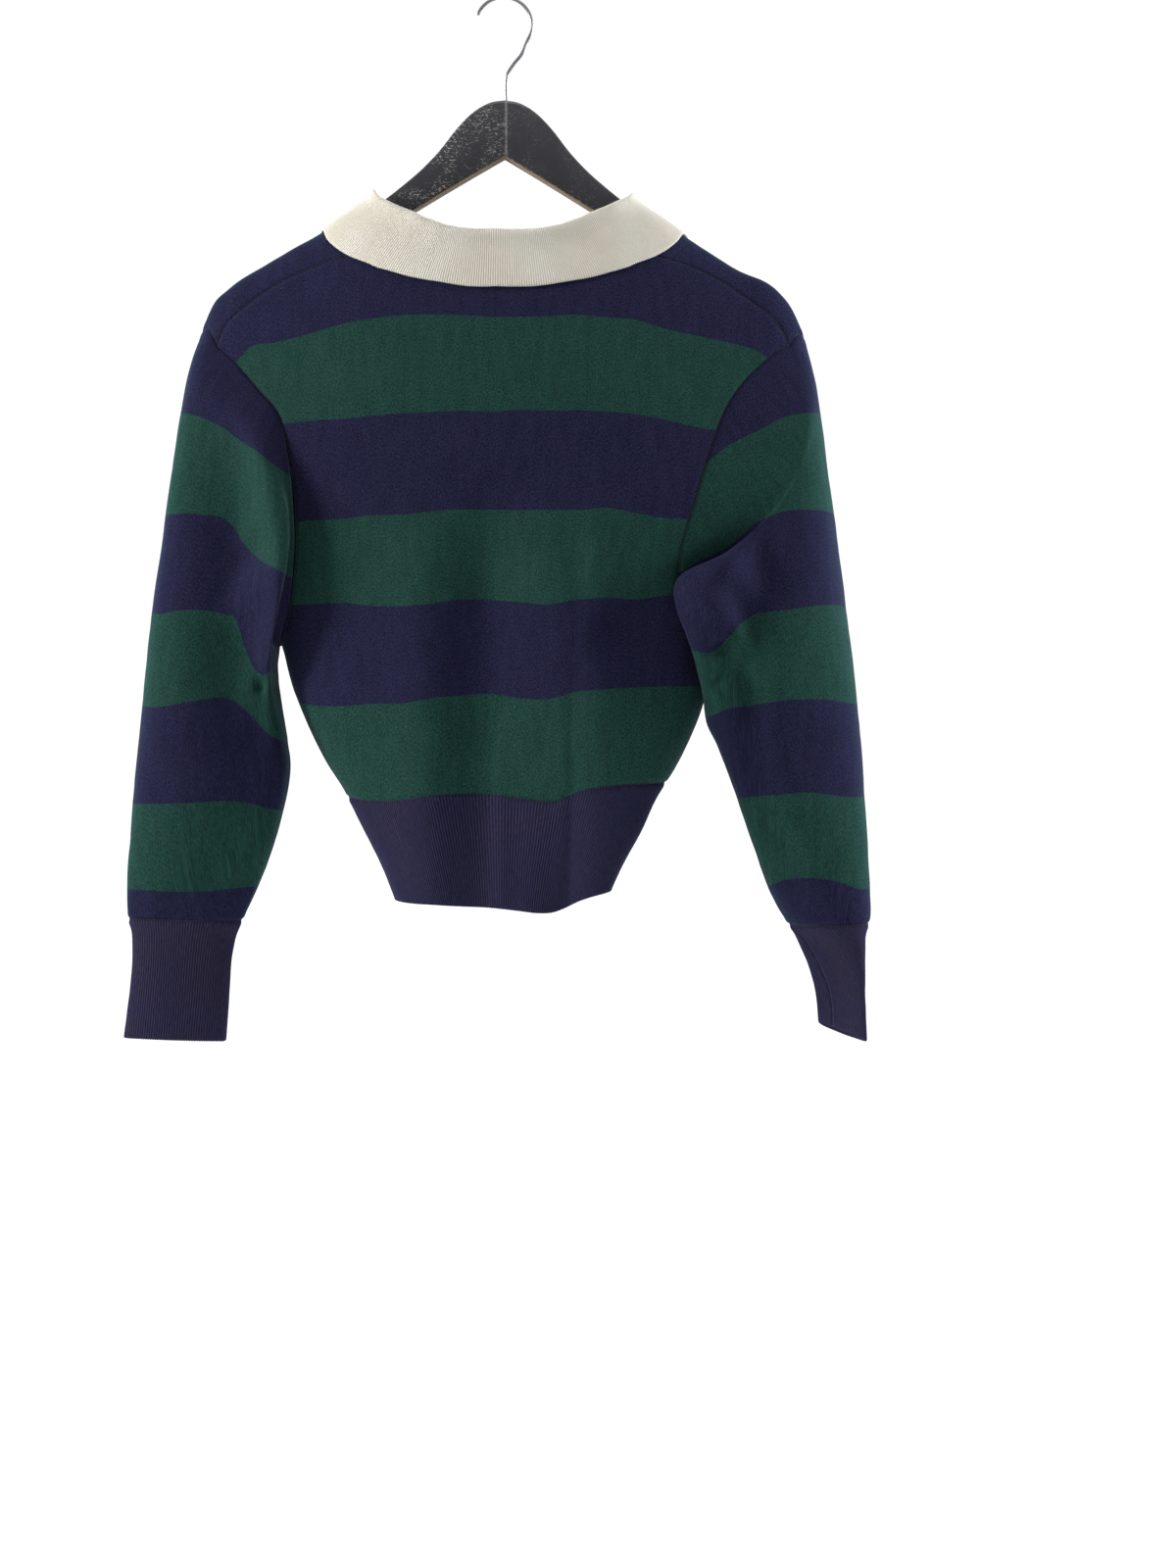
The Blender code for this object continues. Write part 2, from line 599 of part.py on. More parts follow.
# --- From patches to pieces ------------------------------------------------------------------
class Net:
    """The points and triangles of one piece's outer skin, with shared points made one."""

    def __init__(self, patches):
        self.index, self.points, self.faces = {}, [], []
        for grid, flip in patches:
            ids = [[self.point(co) for co in row] for row in grid]
            for upper, lower in zip(ids, ids[1:]):
                for a, b, c, d in zip(upper, lower, lower[1:], upper[1:]):
                    for face in ((a, b, c), (a, c, d)):
                        if len(set(face)) == 3:
                            self.faces.append(face[::-1] if flip else face)
        self.points = np.array(self.points)
        self.faces = np.array(self.faces)

    @staticmethod
    def key(co):
        return tuple(np.round(co * 1e5).astype(int))

    def point(self, co):
        key = self.key(co)
        if key not in self.index:
            self.index[key] = len(self.points)
            self.points.append(np.asarray(co, float))
        return self.index[key]

    def face_normals(self):
        a, b, c = (self.points[self.faces[:, i]] for i in range(3))
        return np.cross(b - a, c - a)

    def open_edges(self):
        """Edges with one face, as (from, to, face number), in the face's own direction."""
        sides = {}
        for number, face in enumerate(self.faces):
            for a, b in zip(face, np.roll(face, -1)):
                sides[(a, b)] = number
        return [(a, b, number) for (a, b), number in sides.items() if (b, a) not in sides]


def shared_normals(nets):
    """Each point's normal over all the pieces that meet there, so that their walls line up."""
    total = {}
    for net in nets:
        for face, normal in zip(net.faces, net.face_normals()):
            for i in face:
                key = net.key(net.points[i])
                total[key] = total.get(key, 0) + normal
    return total


def seam_steps(net):
    """How far each point moves into its piece so that the seams have their gap."""
    steps = np.zeros_like(net.points)
    normals = net.face_normals()
    meeting = {}
    for a, b, number in net.open_edges():
        edge = net.points[b] - net.points[a]
        inward = np.cross(normals[number], edge)
        inward /= np.linalg.norm(inward)
        meeting.setdefault(a, []).append(inward)
        meeting.setdefault(b, []).append(inward)
    for i, (first, second) in meeting.items():
        steps[i] = (first + second) / (1 + first @ second) * SEAM_GAP / 2
    return steps


def wall(name, outer, inner, faces, open_edges, finish):
    """One closed solid between an outer and an inner skin."""
    count = len(outer)
    triangles = [tuple(map(int, face)) for face in faces]
    triangles += [(c + count, b + count, a + count) for a, b, c in triangles[:]]
    for a, b, _ in open_edges:
        a, b = int(a), int(b)
        triangles += [(b, a, a + count), (b, a + count, b + count)]
    return solid(name, np.concatenate([outer, inner]), triangles, finish)


def solid(name, points, faces, finish):
    """A mesh object with its finish, smooth but for its sharp edges."""
    mesh = bpy.data.meshes.new(name)
    mesh.from_pydata([tuple(map(float, co)) for co in points], [], faces)
    mesh.shade_smooth()
    mesh.set_sharp_from_angle(angle=SHARP)
    mesh.materials.append(finish)
    obj = bpy.data.objects.new(name, mesh)
    bpy.context.collection.objects.link(obj)
    return obj


def sew(pieces, finishes):
    """The garment's pieces as walls that meet along their seams."""
    nets = {name: Net(patches) for name, (patches, _) in pieces.items()}
    normals = shared_normals(nets.values())
    for name, net in nets.items():
        inward = np.array([normals[net.key(co)] for co in net.points])
        inward /= -np.linalg.norm(inward, axis=1, keepdims=True)
        outer = net.points + seam_steps(net)
        finish = finishes[pieces[name][1]]
        wall(name, outer, outer + inward * CLOTH, net.faces, net.open_edges(), finish)


# --- Collar ----------------------------------------------------------------------------------
def build_collar(finish):
    """A strip that stands up from the neckline, folds over and lies on the shoulders."""
    left, right = (joined(yoke_neck(side), v_neck(side)) for side in (LEFT, RIGHT))
    rows = joined(left[::-1], back_neck(), right)
    for end, beside in ((0, 1), (-1, -2)):
        rows[end] += (rows[beside] - rows[end]) * COLLAR_OPENING
    neck, edge, stand = rows[:, :2], rows[:, 2:4], rows[:, 4]
    foot, out = torso(neck), torso_normal(neck)
    up = np.cross(out, np.gradient(foot, axis=0))
    up /= np.linalg.norm(up, axis=1, keepdims=True)
    lines = [
        foot + up * (COLLAR_GAP + rise * stand)[:, None] + out * (away - CLOTH / 2)
        for rise, away in zip(COLLAR_STAND["up"], COLLAR_STAND["out"])
    ]
    for share, over in zip(COLLAR_FALL["share"], COLLAR_FALL["over"]):
        place = (1 - share) * neck + share * edge
        lines.append(torso(place) + torso_normal(place) * over)
    middle = np.stack(lines, axis=1)
    normal = np.cross(np.gradient(middle, axis=0), np.gradient(middle, axis=1))
    normal /= np.linalg.norm(normal, axis=-1, keepdims=True)
    net = Net([(middle, False)])
    half = normal.reshape(-1, 3) * COLLAR_CLOTH / 2
    wall("collar", net.points + half, net.points - half, net.faces, net.open_edges(), finish)


# --- Hanger ----------------------------------------------------------------------------------
def build_hanger(finish):
    """The wooden hanger, with its edges taken off and a bore for the hook."""
    outs = np.concatenate([-HANGER["out"][::-1], HANGER["out"][1:]])
    sections = []
    for out in outs:
        top, bottom, half = (
            curve(HANGER["out"], HANGER[name], abs(out)) for name in ("top", "bottom", "half")
        )
        edge = min(HANGER_EDGE, (top - bottom) / 3, half / 2)
        x, sink = out + HANGER_MIDDLE, -HANGER_TILT * out
        corners = (
            (-half, bottom + edge),
            (-half, top - edge),
            (-half + edge, top),
            (half - edge, top),
            (half, top - edge),
            (half, bottom + edge),
            (half - edge, bottom),
            (-half + edge, bottom),
        )
        sections.append([(x, y, z + sink) for y, z in corners])
    points = [co for section in sections for co in section]
    sides = len(sections[0])
    faces = []
    for s in range(len(sections) - 1):
        for i in range(sides):
            a, b = s * sides + i, s * sides + (i + 1) % sides
            faces += [(a, b, b + sides), (a, b + sides, a + sides)]
    last = (len(sections) - 1) * sides
    faces += [(0, i + 1, i) for i in range(1, sides - 1)]
    faces += [(last, last + i, last + i + 1) for i in range(1, sides - 1)]
    faces = [face[::-1] for face in faces]
    hanger = solid("hanger", points, faces, finish)
    bore_top, bore_foot = 0.01, SHANK_DEPTH + BORE_ROOM
    bpy.ops.mesh.primitive_cylinder_add(
        vertices=16,
        radius=WIRE / 2 + BORE_ROOM,
        depth=bore_top + bore_foot,
        location=(SHANK_X, 0, HANGER["top"][0] + (bore_top - bore_foot) / 2),
    )
    bore = bpy.context.object
    bore.name = "hook_bore"
    bore.hide_render = True
    bore.display_type = "WIRE"
    cut = hanger.modifiers.new("bore", "BOOLEAN")
    cut.object = bore


def build_hook(finish):
    """The wire hook: a straight shank in the wood and a round top."""
    radius = HOOK_RADIUS + WIRE / 2
    turns = np.linspace(HOOK_FROM, HOOK_TO, HOOK_STEPS)
    top = np.stack([radius * np.cos(turns), radius * np.sin(turns) - HOOK_RADIUS], axis=1)
    line = np.concatenate([np.stack([SHANK["x"], SHANK["z"]], axis=1), top])
    data = bpy.data.curves.new("hanger_hook", "CURVE")
    data.dimensions = "3D"
    data.bevel_depth = WIRE / 2
    data.bevel_resolution = 3
    data.use_fill_caps = True
    spline = data.splines.new("POLY")
    spline.points.add(len(line) - 1)
    for point, (x, z) in zip(spline.points, line):
        point.co = (x, 0.0, z, 1.0)
    data.materials.append(finish)
    bpy.context.collection.objects.link(bpy.data.objects.new("hanger_hook", data))


def make_finish(name):
    colour, roughness, metallic = FINISHES[name]
    material = bpy.data.materials.new(name)
    material.use_nodes = True
    shader = material.node_tree.nodes["Principled BSDF"]
    shader.inputs["Base Color"].default_value = (*colour, 1.0)
    shader.inputs["Roughness"].default_value = roughness
    shader.inputs["Metallic"].default_value = metallic
    return material


def main():
    for obj in list(bpy.data.objects):
        bpy.data.objects.remove(obj)
    finishes = {name: make_finish(name) for name in FINISHES}
    pieces = {
        "back": (back_patches(), "green_knit"),
        "front": (front_patches(), "green_knit"),
        "hem_band": (hem_patches(), "navy_knit"),
    }
    for side, word in ((LEFT, "left"), (RIGHT, "right")):
        sleeve, cuff = sleeve_patches(side)
        pieces["sleeve_" + word] = (sleeve, "green_knit")
        pieces["cuff_" + word] = (cuff, "navy_knit")
    sew(pieces, finishes)
    build_collar(finishes["cream_rib"])
    build_hanger(finishes["black_paint"])
    build_hook(finishes["steel"])


main()
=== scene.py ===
"""The looks of a striped knit sweater with a rib collar, hung on a worn wooden hanger.

Metres, +Z up, +X to the right of someone who looks at the sweater's back, +Y from its back to
its front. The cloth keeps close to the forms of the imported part: tables of sections, read at a
finer step, then rolled in at the seams, ribbed, striped and stitched. No cloth simulation is run:
the folds are moves of the surface, worked out here.
"""

from __future__ import annotations

import logging
import math
from collections import defaultdict
from dataclasses import dataclass, field
from enum import Enum, IntEnum

import bmesh
import bpy
import numpy as np
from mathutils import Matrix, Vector, noise
from mathutils.kdtree import KDTree


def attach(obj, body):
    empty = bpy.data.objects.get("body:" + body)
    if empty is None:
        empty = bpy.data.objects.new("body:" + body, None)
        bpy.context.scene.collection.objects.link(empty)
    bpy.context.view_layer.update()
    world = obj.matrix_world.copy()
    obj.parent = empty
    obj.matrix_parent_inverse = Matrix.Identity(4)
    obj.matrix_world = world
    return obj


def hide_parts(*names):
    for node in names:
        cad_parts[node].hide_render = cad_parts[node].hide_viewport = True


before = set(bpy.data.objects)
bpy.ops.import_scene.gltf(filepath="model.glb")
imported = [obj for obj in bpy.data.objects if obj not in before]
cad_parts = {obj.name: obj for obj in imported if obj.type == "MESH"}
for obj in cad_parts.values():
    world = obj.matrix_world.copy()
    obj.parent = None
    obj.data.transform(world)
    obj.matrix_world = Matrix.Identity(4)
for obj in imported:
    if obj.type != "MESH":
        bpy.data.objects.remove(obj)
log = logging.getLogger("sweater")

Array = np.ndarray
Table = dict[str, np.ndarray]
Socket = bpy.types.NodeSocket
Node = bpy.types.Node
Object = bpy.types.Object
Colour = tuple[float, float, float]

RIB_PITCH = 0.0018  # from one rib to the next
RIB_POINTS = 4  # points across one rib
ROLL_SHARES = (0.2, 0.42, 0.7)  # extra rows beside a seam, as shares of a cell
SEWN = -1.0  # mark of a point on a seam inside a piece
PLAIN = 0.5  # stripe count of a piece without stripes
NAVY_RELIEF = 0.0005  # height of the navy ribs
CREAM_RELIEF = 0.00045  # height of the collar's ribs
# The hem rib's navy is lighter than the body's: partly the rib's own colour, partly painted light
# from below.
HEM_NAVY, HEM_WARM = (0.024, 0.0235, 0.056), (0.028, 0.0245, 0.053)
# The cuffs' navy is the hem's rib painted lighter: painted light, for the light that falls on the
# cuffs from the sides and below.
CUFF_NAVY_PAINTED_LIT, CUFF_WARM_PAINTED_LIT = (0.029, 0.027, 0.062), (0.033, 0.028, 0.056)
CREAM, CREAM_WARM, CREAM_LINT = (0.66, 0.64, 0.56), (0.62, 0.58, 0.49), (0.78, 0.77, 0.72)


class Side(IntEnum):
    """The garment's two sides, as its back is looked at."""

    LEFT = -1
    RIGHT = 1


class Face(IntEnum):
    """The garment's back and front."""

    BACK = -1
    FRONT = 1


class Slot(Enum):
    """The record's material slots."""

    KNIT = "striped_knit"
    NAVY_RIB = "navy_rib"
    CREAM_RIB = "cream_rib"
    WOOD = "black_wood"
    WIRE = "steel_wire"


# --- Small tools for tables, curves and edges --------------------------------------------------
def table(names: str, *rows: tuple[float, ...]) -> Table:
    """Makes a short table with named columns.

    Args:
        names: the columns' names, with spaces between.
        rows: one tuple for each section, point or fold.

    Returns:
        One array for each name.
    """
    return {name: np.array(values) for name, values in zip(names.split(), zip(*rows))}


def records(rows: Table) -> list[dict[str, float]]:
    """A table's rows, each with its named values."""
    return [dict(zip(rows, values)) for values in zip(*rows.values())]


def kept(value: object) -> object:
    """A dataclass field that starts as the given table."""
    return field(default_factory=lambda: value)


def curve(knots: Array, values: Array, at: Array | float) -> Array:
    """Reads a smooth curve through listed values.

    Args:
        knots: where the values stand, rising.
        values: one value, or one row of values, for each knot.
        at: the place or places to read.

    Returns:
        The curve's values there.
    """
    values = np.asarray(values, float)
    flat = values.reshape(len(values), -1)
    step = np.diff(knots)[:, None]
    slope = np.diff(flat, axis=0) / step
    inner = (slope[:-1] * step[1:] + slope[1:] * step[:-1]) / (step[:-1] + step[1:])
    tangent = np.concatenate([slope[:1], inner, slope[-1:]])
    at = np.clip(at, knots[0], knots[-1])
    i = np.clip(np.searchsorted(knots, at, side="right") - 1, 0, len(step) - 1)
    t = ((at - np.asarray(knots)[i]) / step[i, 0])[..., None]
    read = (
        (2 * t**3 - 3 * t**2 + 1) * flat[i]
        + (t**3 - 2 * t**2 + t) * step[i] * tangent[i]
        + (3 * t**2 - 2 * t**3) * flat[i + 1]
        + (t**3 - t**2) * step[i] * tangent[i + 1]
    )
    return read.reshape(np.shape(at) + values.shape[1:])


def distances(points: Array, axis: int = 0) -> Array:
    """How far along a line of points, or along each line of a grid, every point lies."""
    steps = np.linalg.norm(np.diff(points, axis=axis), axis=-1)
    return np.concatenate([0 * steps.take([0], axis), np.cumsum(steps, axis)], axis)


def even(points: Array, cells: int) -> Array:
    """Spaces points evenly along a smooth curve.

    Args:
        points: the given points; the first two values are the place.
        cells: number of steps.

    Returns:
        One row more than there are cells.
    """
    points = np.asarray(points, float)
    along = distances(points[:, :2])
    return curve(along, points, np.linspace(0.0, along[-1], cells + 1))


def joined(*edges: Array) -> Array:
    """One edge from several that follow each other and share their end points."""
    return np.concatenate([edges[0]] + [edge[1:] for edge in edges[1:]])


def fringed(grid: Array, axis: int, first: bool = True, last: bool = True) -> Array:
    """Adds rows beside the ends of a grid, where cloth rolls into a seam.

    Args:
        grid: places, points or plain numbers.
        axis: the axis to work along.
        first: whether the first end gets them.
        last: whether the last end gets them.

    Returns:
        The grid with its extra rows.
    """
    grid = np.moveaxis(np.asarray(grid, float), axis, 0)
    shares = np.array(ROLL_SHARES).reshape((-1,) + (1,) * (grid.ndim - 1))
    rows = [grid[:1]]
    if first:
        rows.append(grid[:1] + (grid[1:2] - grid[:1]) * shares)
    rows.append(grid[1:-1])
    if last:
        rows.append(grid[-1:] + (grid[-2:-1] - grid[-1:]) * shares[::-1])
    rows.append(grid[-1:])
    return np.moveaxis(np.concatenate(rows), 0, axis)


def unit(vectors: Array) -> Array:
    """The vectors at length 1."""
    return vectors / np.maximum(np.linalg.norm(vectors, axis=-1, keepdims=True), 1e-12)


def bump(value: Array, middle: float, width: float) -> Array:
    """A soft bell of height 1 about the middle."""
    return np.exp(-(((value - middle) / width) ** 2))


# --- The body of the garment -------------------------------------------------------------------
# Top line of the shoulders, by its distance from the middle.
RIDGE = table(
    "out left right",
    (0.0, -0.135, -0.135),
    (0.05, -0.1398, -0.142),
    (0.104, -0.1576, -0.161),
    (0.14, -0.1803, -0.1838),
    (0.18, -0.2034, -0.2092),
    (0.212, -0.224, -0.2264),
    (0.2225, -0.2345, -0.24),
    (0.2335, -0.26, -0.2668),
    (0.25, -0.32, -0.324),
)

# Half widths and depth of the torso by height.
TORSO = table(
    "z left right depth",
    (-0.702, 0.08, 0.0765, 0.07),
    (-0.67, 0.0925, 0.09, 0.0725),
    (-0.64, 0.107, 0.106, 0.0735),
    (-0.613, 0.1205, 0.119, 0.075),
    (-0.59, 0.1345, 0.133, 0.0775),
    (-0.56, 0.15, 0.1475, 0.079),
    (-0.53, 0.162, 0.157, 0.08),
    (-0.5, 0.1695, 0.162, 0.08),
    (-0.46, 0.18, 0.174, 0.0795),
    (-0.4, 0.2, 0.196, 0.078),
    (-0.33, 0.226, 0.224, 0.0765),
    (-0.27, 0.247, 0.247, 0.075),
    (-0.13, 0.247, 0.247, 0.074),
)

# Upright folds of the torso: where they start, are full and lie, and how far they stand out.
FOLDS = table(
    "face x_top x_foot z_start z_full left right out",
    (Face.BACK, 0.056, 0.054, -0.35, -0.47, 0.034, 0.013, 0.012),
    (Face.BACK, 0.051, 0.051, -0.45, -0.59, 0.011, 0.005, 0.004),
    (Face.BACK, -0.006, -0.012, -0.35, -0.47, 0.024, 0.024, -0.008),
    (Face.BACK, -0.056, -0.06, -0.35, -0.48, 0.024, 0.022, 0.006),
    (Face.BACK, 0.003, 0.0, -0.52, -0.62, 0.008, 0.008, 0.002),
    (Face.BACK, 0.096, 0.082, -0.4, -0.58, 0.016, 0.02, -0.0035),
    (Face.FRONT, -0.06, -0.048, -0.42, -0.62, 0.014, 0.026, 0.008),
    (Face.FRONT, 0.035, 0.03, -0.5, -0.63, 0.022, 0.018, 0.0045),
    (Face.FRONT, -0.005, -0.008, -0.48, -0.62, 0.016, 0.018, -0.003),
)


@dataclass(frozen=True)
class Body:
    """The torso's outer surface.

    A place on it is (across, down). Across is an angle, a quarter turn left at the left side seam
    and a quarter turn right at the right one. Down is 0 on the ridge of the shoulders and grows
    down the front; under 0 it is on the back, and 1 either way is shoulder_fall below the ridge.
    """

    shoulder_fall: float = 0.25
    roundness: float = 0.8
    settle_rounds: int = 60
    ridge_middle: float = 0.02
    ridge: Table = kept(RIDGE)
    sections: Table = kept(TORSO)
    folds: Table = kept(FOLDS)

    @staticmethod
    def by_side(x: Array, rows: Table, key: str, at: Array) -> Array:
        """Reads a table's left or right column, whichever side x lies on."""
        left, right = (curve(rows[key], rows[side], at) for side in ("left", "right"))
        return np.where(np.asarray(x) < 0, left, right)

    def half_width(self, x: Array, z: Array) -> Array:
        """Half width at a height, on the side that x lies on."""
        return self.by_side(x, self.sections, "z", z)

    def ridge_height(self, x: Array) -> Array:
        """Height of the shoulders' top line, rounded over its middle."""
        out, middle = np.abs(x), self.ridge_middle
        out = np.where(out < middle, (out**2 / middle + middle) / 2, out)
        return self.by_side(x, self.ridge, "out", out)

    def place(self, x: Array, z: Array, face: Array | int) -> Array:
        """Finds a place by its x and height.

        Args:
            x: across the garment.
            z: height.
            face: back or front.

        Returns:
            (across, down) of each.
        """
        across = np.arcsin(np.clip(x / self.half_width(x, z), -1, 1))
        fall = np.maximum(self.ridge_height(x) - z, 0)
        quarter = math.pi / 2
        turn = np.arccos(np.clip(1 - fall / self.shoulder_fall, 0, 1)) / quarter
        straight = np.maximum(fall - self.shoulder_fall, 0) / (self.shoulder_fall * quarter)
        return np.stack([across, face * (turn + straight)], axis=-1)

    def fold_height(self, x: Array, z: Array, face: Array) -> Array:
        """How far the upright folds stand out.

        Args:
            x: across the garment.
            z: height.
            face: back or front.

        Returns:
            Height over the plain torso.
        """
        out = np.zeros(np.shape(x))
        for row in records(self.folds):
            grown = np.clip((row["z_start"] - z) / (row["z_start"] - row["z_full"]), 0, 1)
            middle = row["x_top"] + (row["x_foot"] - row["x_top"]) * grown
            width = np.where(x < middle, row["left"], row["right"])
            rise = grown**2 * (3 - 2 * grown) * bump(x, middle, width)
            out += np.where(face == row["face"], row["out"] * rise, 0)
        return out

    def point(self, place: Array) -> Array:
        """Points of the outside at the given places.

        Args:
            place: (across, down) of each.

        Returns:
            Their points.
        """
        across, down = place[..., 0], place[..., 1]
        turn = np.minimum(np.abs(down), 1) * math.pi / 2
        past = np.maximum(np.abs(down) - 1, 0) * math.pi / 2
        fall = self.shoulder_fall * (1 - np.cos(turn) + past)
        z = self.ridge["left"][0] - fall
        for _ in range(self.settle_rounds):
            x = self.half_width(across, z) * np.sin(across)
            z = self.ridge_height(x) - fall
        face = np.sign(down)
        flank = np.clip(np.cos(across), 0, 1) ** self.roundness
        depth = curve(self.sections["z"], self.sections["depth"], z) * flank * np.sin(turn)
        depth = depth + self.fold_height(x, z, face) * flank
        return np.stack([x, face * depth, z], axis=-1)

    def normal(self, place: Array) -> Array:
        """Unit vectors out of the body at the given places."""
        nudge = 1e-3
        right = self.point(place + [nudge, 0]) - self.point(place - [nudge, 0])
        down = self.point(place + [0, nudge]) - self.point(place - [0, nudge])
        return unit(np.cross(right, down))


@dataclass(frozen=True)
class Cells:
    """How many cells each stretch of a seam has."""

    yoke: int = 14
    arm_back: int = 75
    arm_front: int = 78
    side: int = 36
    shoulder: int = 50
    neck: int = 42
    v: int = 48


# Armhole seams, from the shoulder's tip to the underarm.
ARMHOLES = {
    Side.LEFT: table(
        "x z",
        (-0.2335, -0.26),
        (-0.217, -0.2715),
        (-0.206, -0.2815),
        (-0.186, -0.3045),
        (-0.166, -0.331),
        (-0.157, -0.376),
        (-0.1545, -0.42),
        (-0.159, -0.463),
        (-0.1697, -0.499),
    ),
    Side.RIGHT: table(
        "x z",
        (0.232, -0.264),
        (0.218, -0.2705),
        (0.2, -0.283),
        (0.184, -0.299),
        (0.169, -0.321),
        (0.156, -0.356),
        (0.144, -0.396),
        (0.134, -0.43),
        (0.133, -0.456),
        (0.144, -0.48),
        (0.1622, -0.499),
    ),
}

# Shoulder seam, from the neck out.
SHOULDER = table(
    "out z",
    (0.063, -0.1905),
    (0.085, -0.196),
    (0.1105, -0.203),
    (0.143, -0.2115),
    (0.172, -0.225),
    (0.199, -0.244),
    (0.213, -0.2585),
)

# Neckline and the collar's free edge, from the middle of the back to the bottom of the V.
NECK = table(
    "face neck_out neck_z edge_out edge_z stand",
    (Face.BACK, 0.0, -0.202, 0.0, -0.2325, 1.0),
    (Face.BACK, 0.03, -0.2005, 0.038, -0.23, 1.0),
    (Face.BACK, 0.046, -0.1972, 0.066, -0.2245, 1.0),
    (Face.BACK, 0.063, -0.1905, 0.092, -0.2165, 0.95),
    (Face.BACK, 0.083, -0.179, 0.115, -0.2055, 0.85),
    (Face.BACK, 0.0965, -0.168, 0.13, -0.1935, 0.7),
    (Face.FRONT, 0.104, -0.1602, 0.139, -0.1814, 0.62),
    (Face.FRONT, 0.102, -0.179, 0.15, -0.214, 0.62),
    (Face.FRONT, 0.092, -0.204, 0.148, -0.248, 0.6),
    (Face.FRONT, 0.072, -0.236, 0.131, -0.281, 0.55),
    (Face.FRONT, 0.046, -0.268, 0.106, -0.309, 0.48),
    (Face.FRONT, 0.02, -0.295, 0.079, -0.332, 0.4),
    (Face.FRONT, 0.003, -0.309, 0.056, -0.348, 0.3),
)

# Hem band's join and lower edge across the back.
HEM = table(
    "place join bottom",
    (-1.0, -0.615, -0.693),
    (-0.83, -0.6178, -0.694),
    (-0.66, -0.6172, -0.6944),
    (-0.41, -0.6135, -0.6955),
    (-0.04, -0.6128, -0.697),
    (0.18, -0.6165, -0.6988),
    (0.38, -0.617, -0.7003),
    (0.48, -0.6105, -0.7),
    (0.6, -0.6078, -0.697),
    (0.72, -0.6062, -0.6924),
    (1.0, -0.604, -0.6866),
)


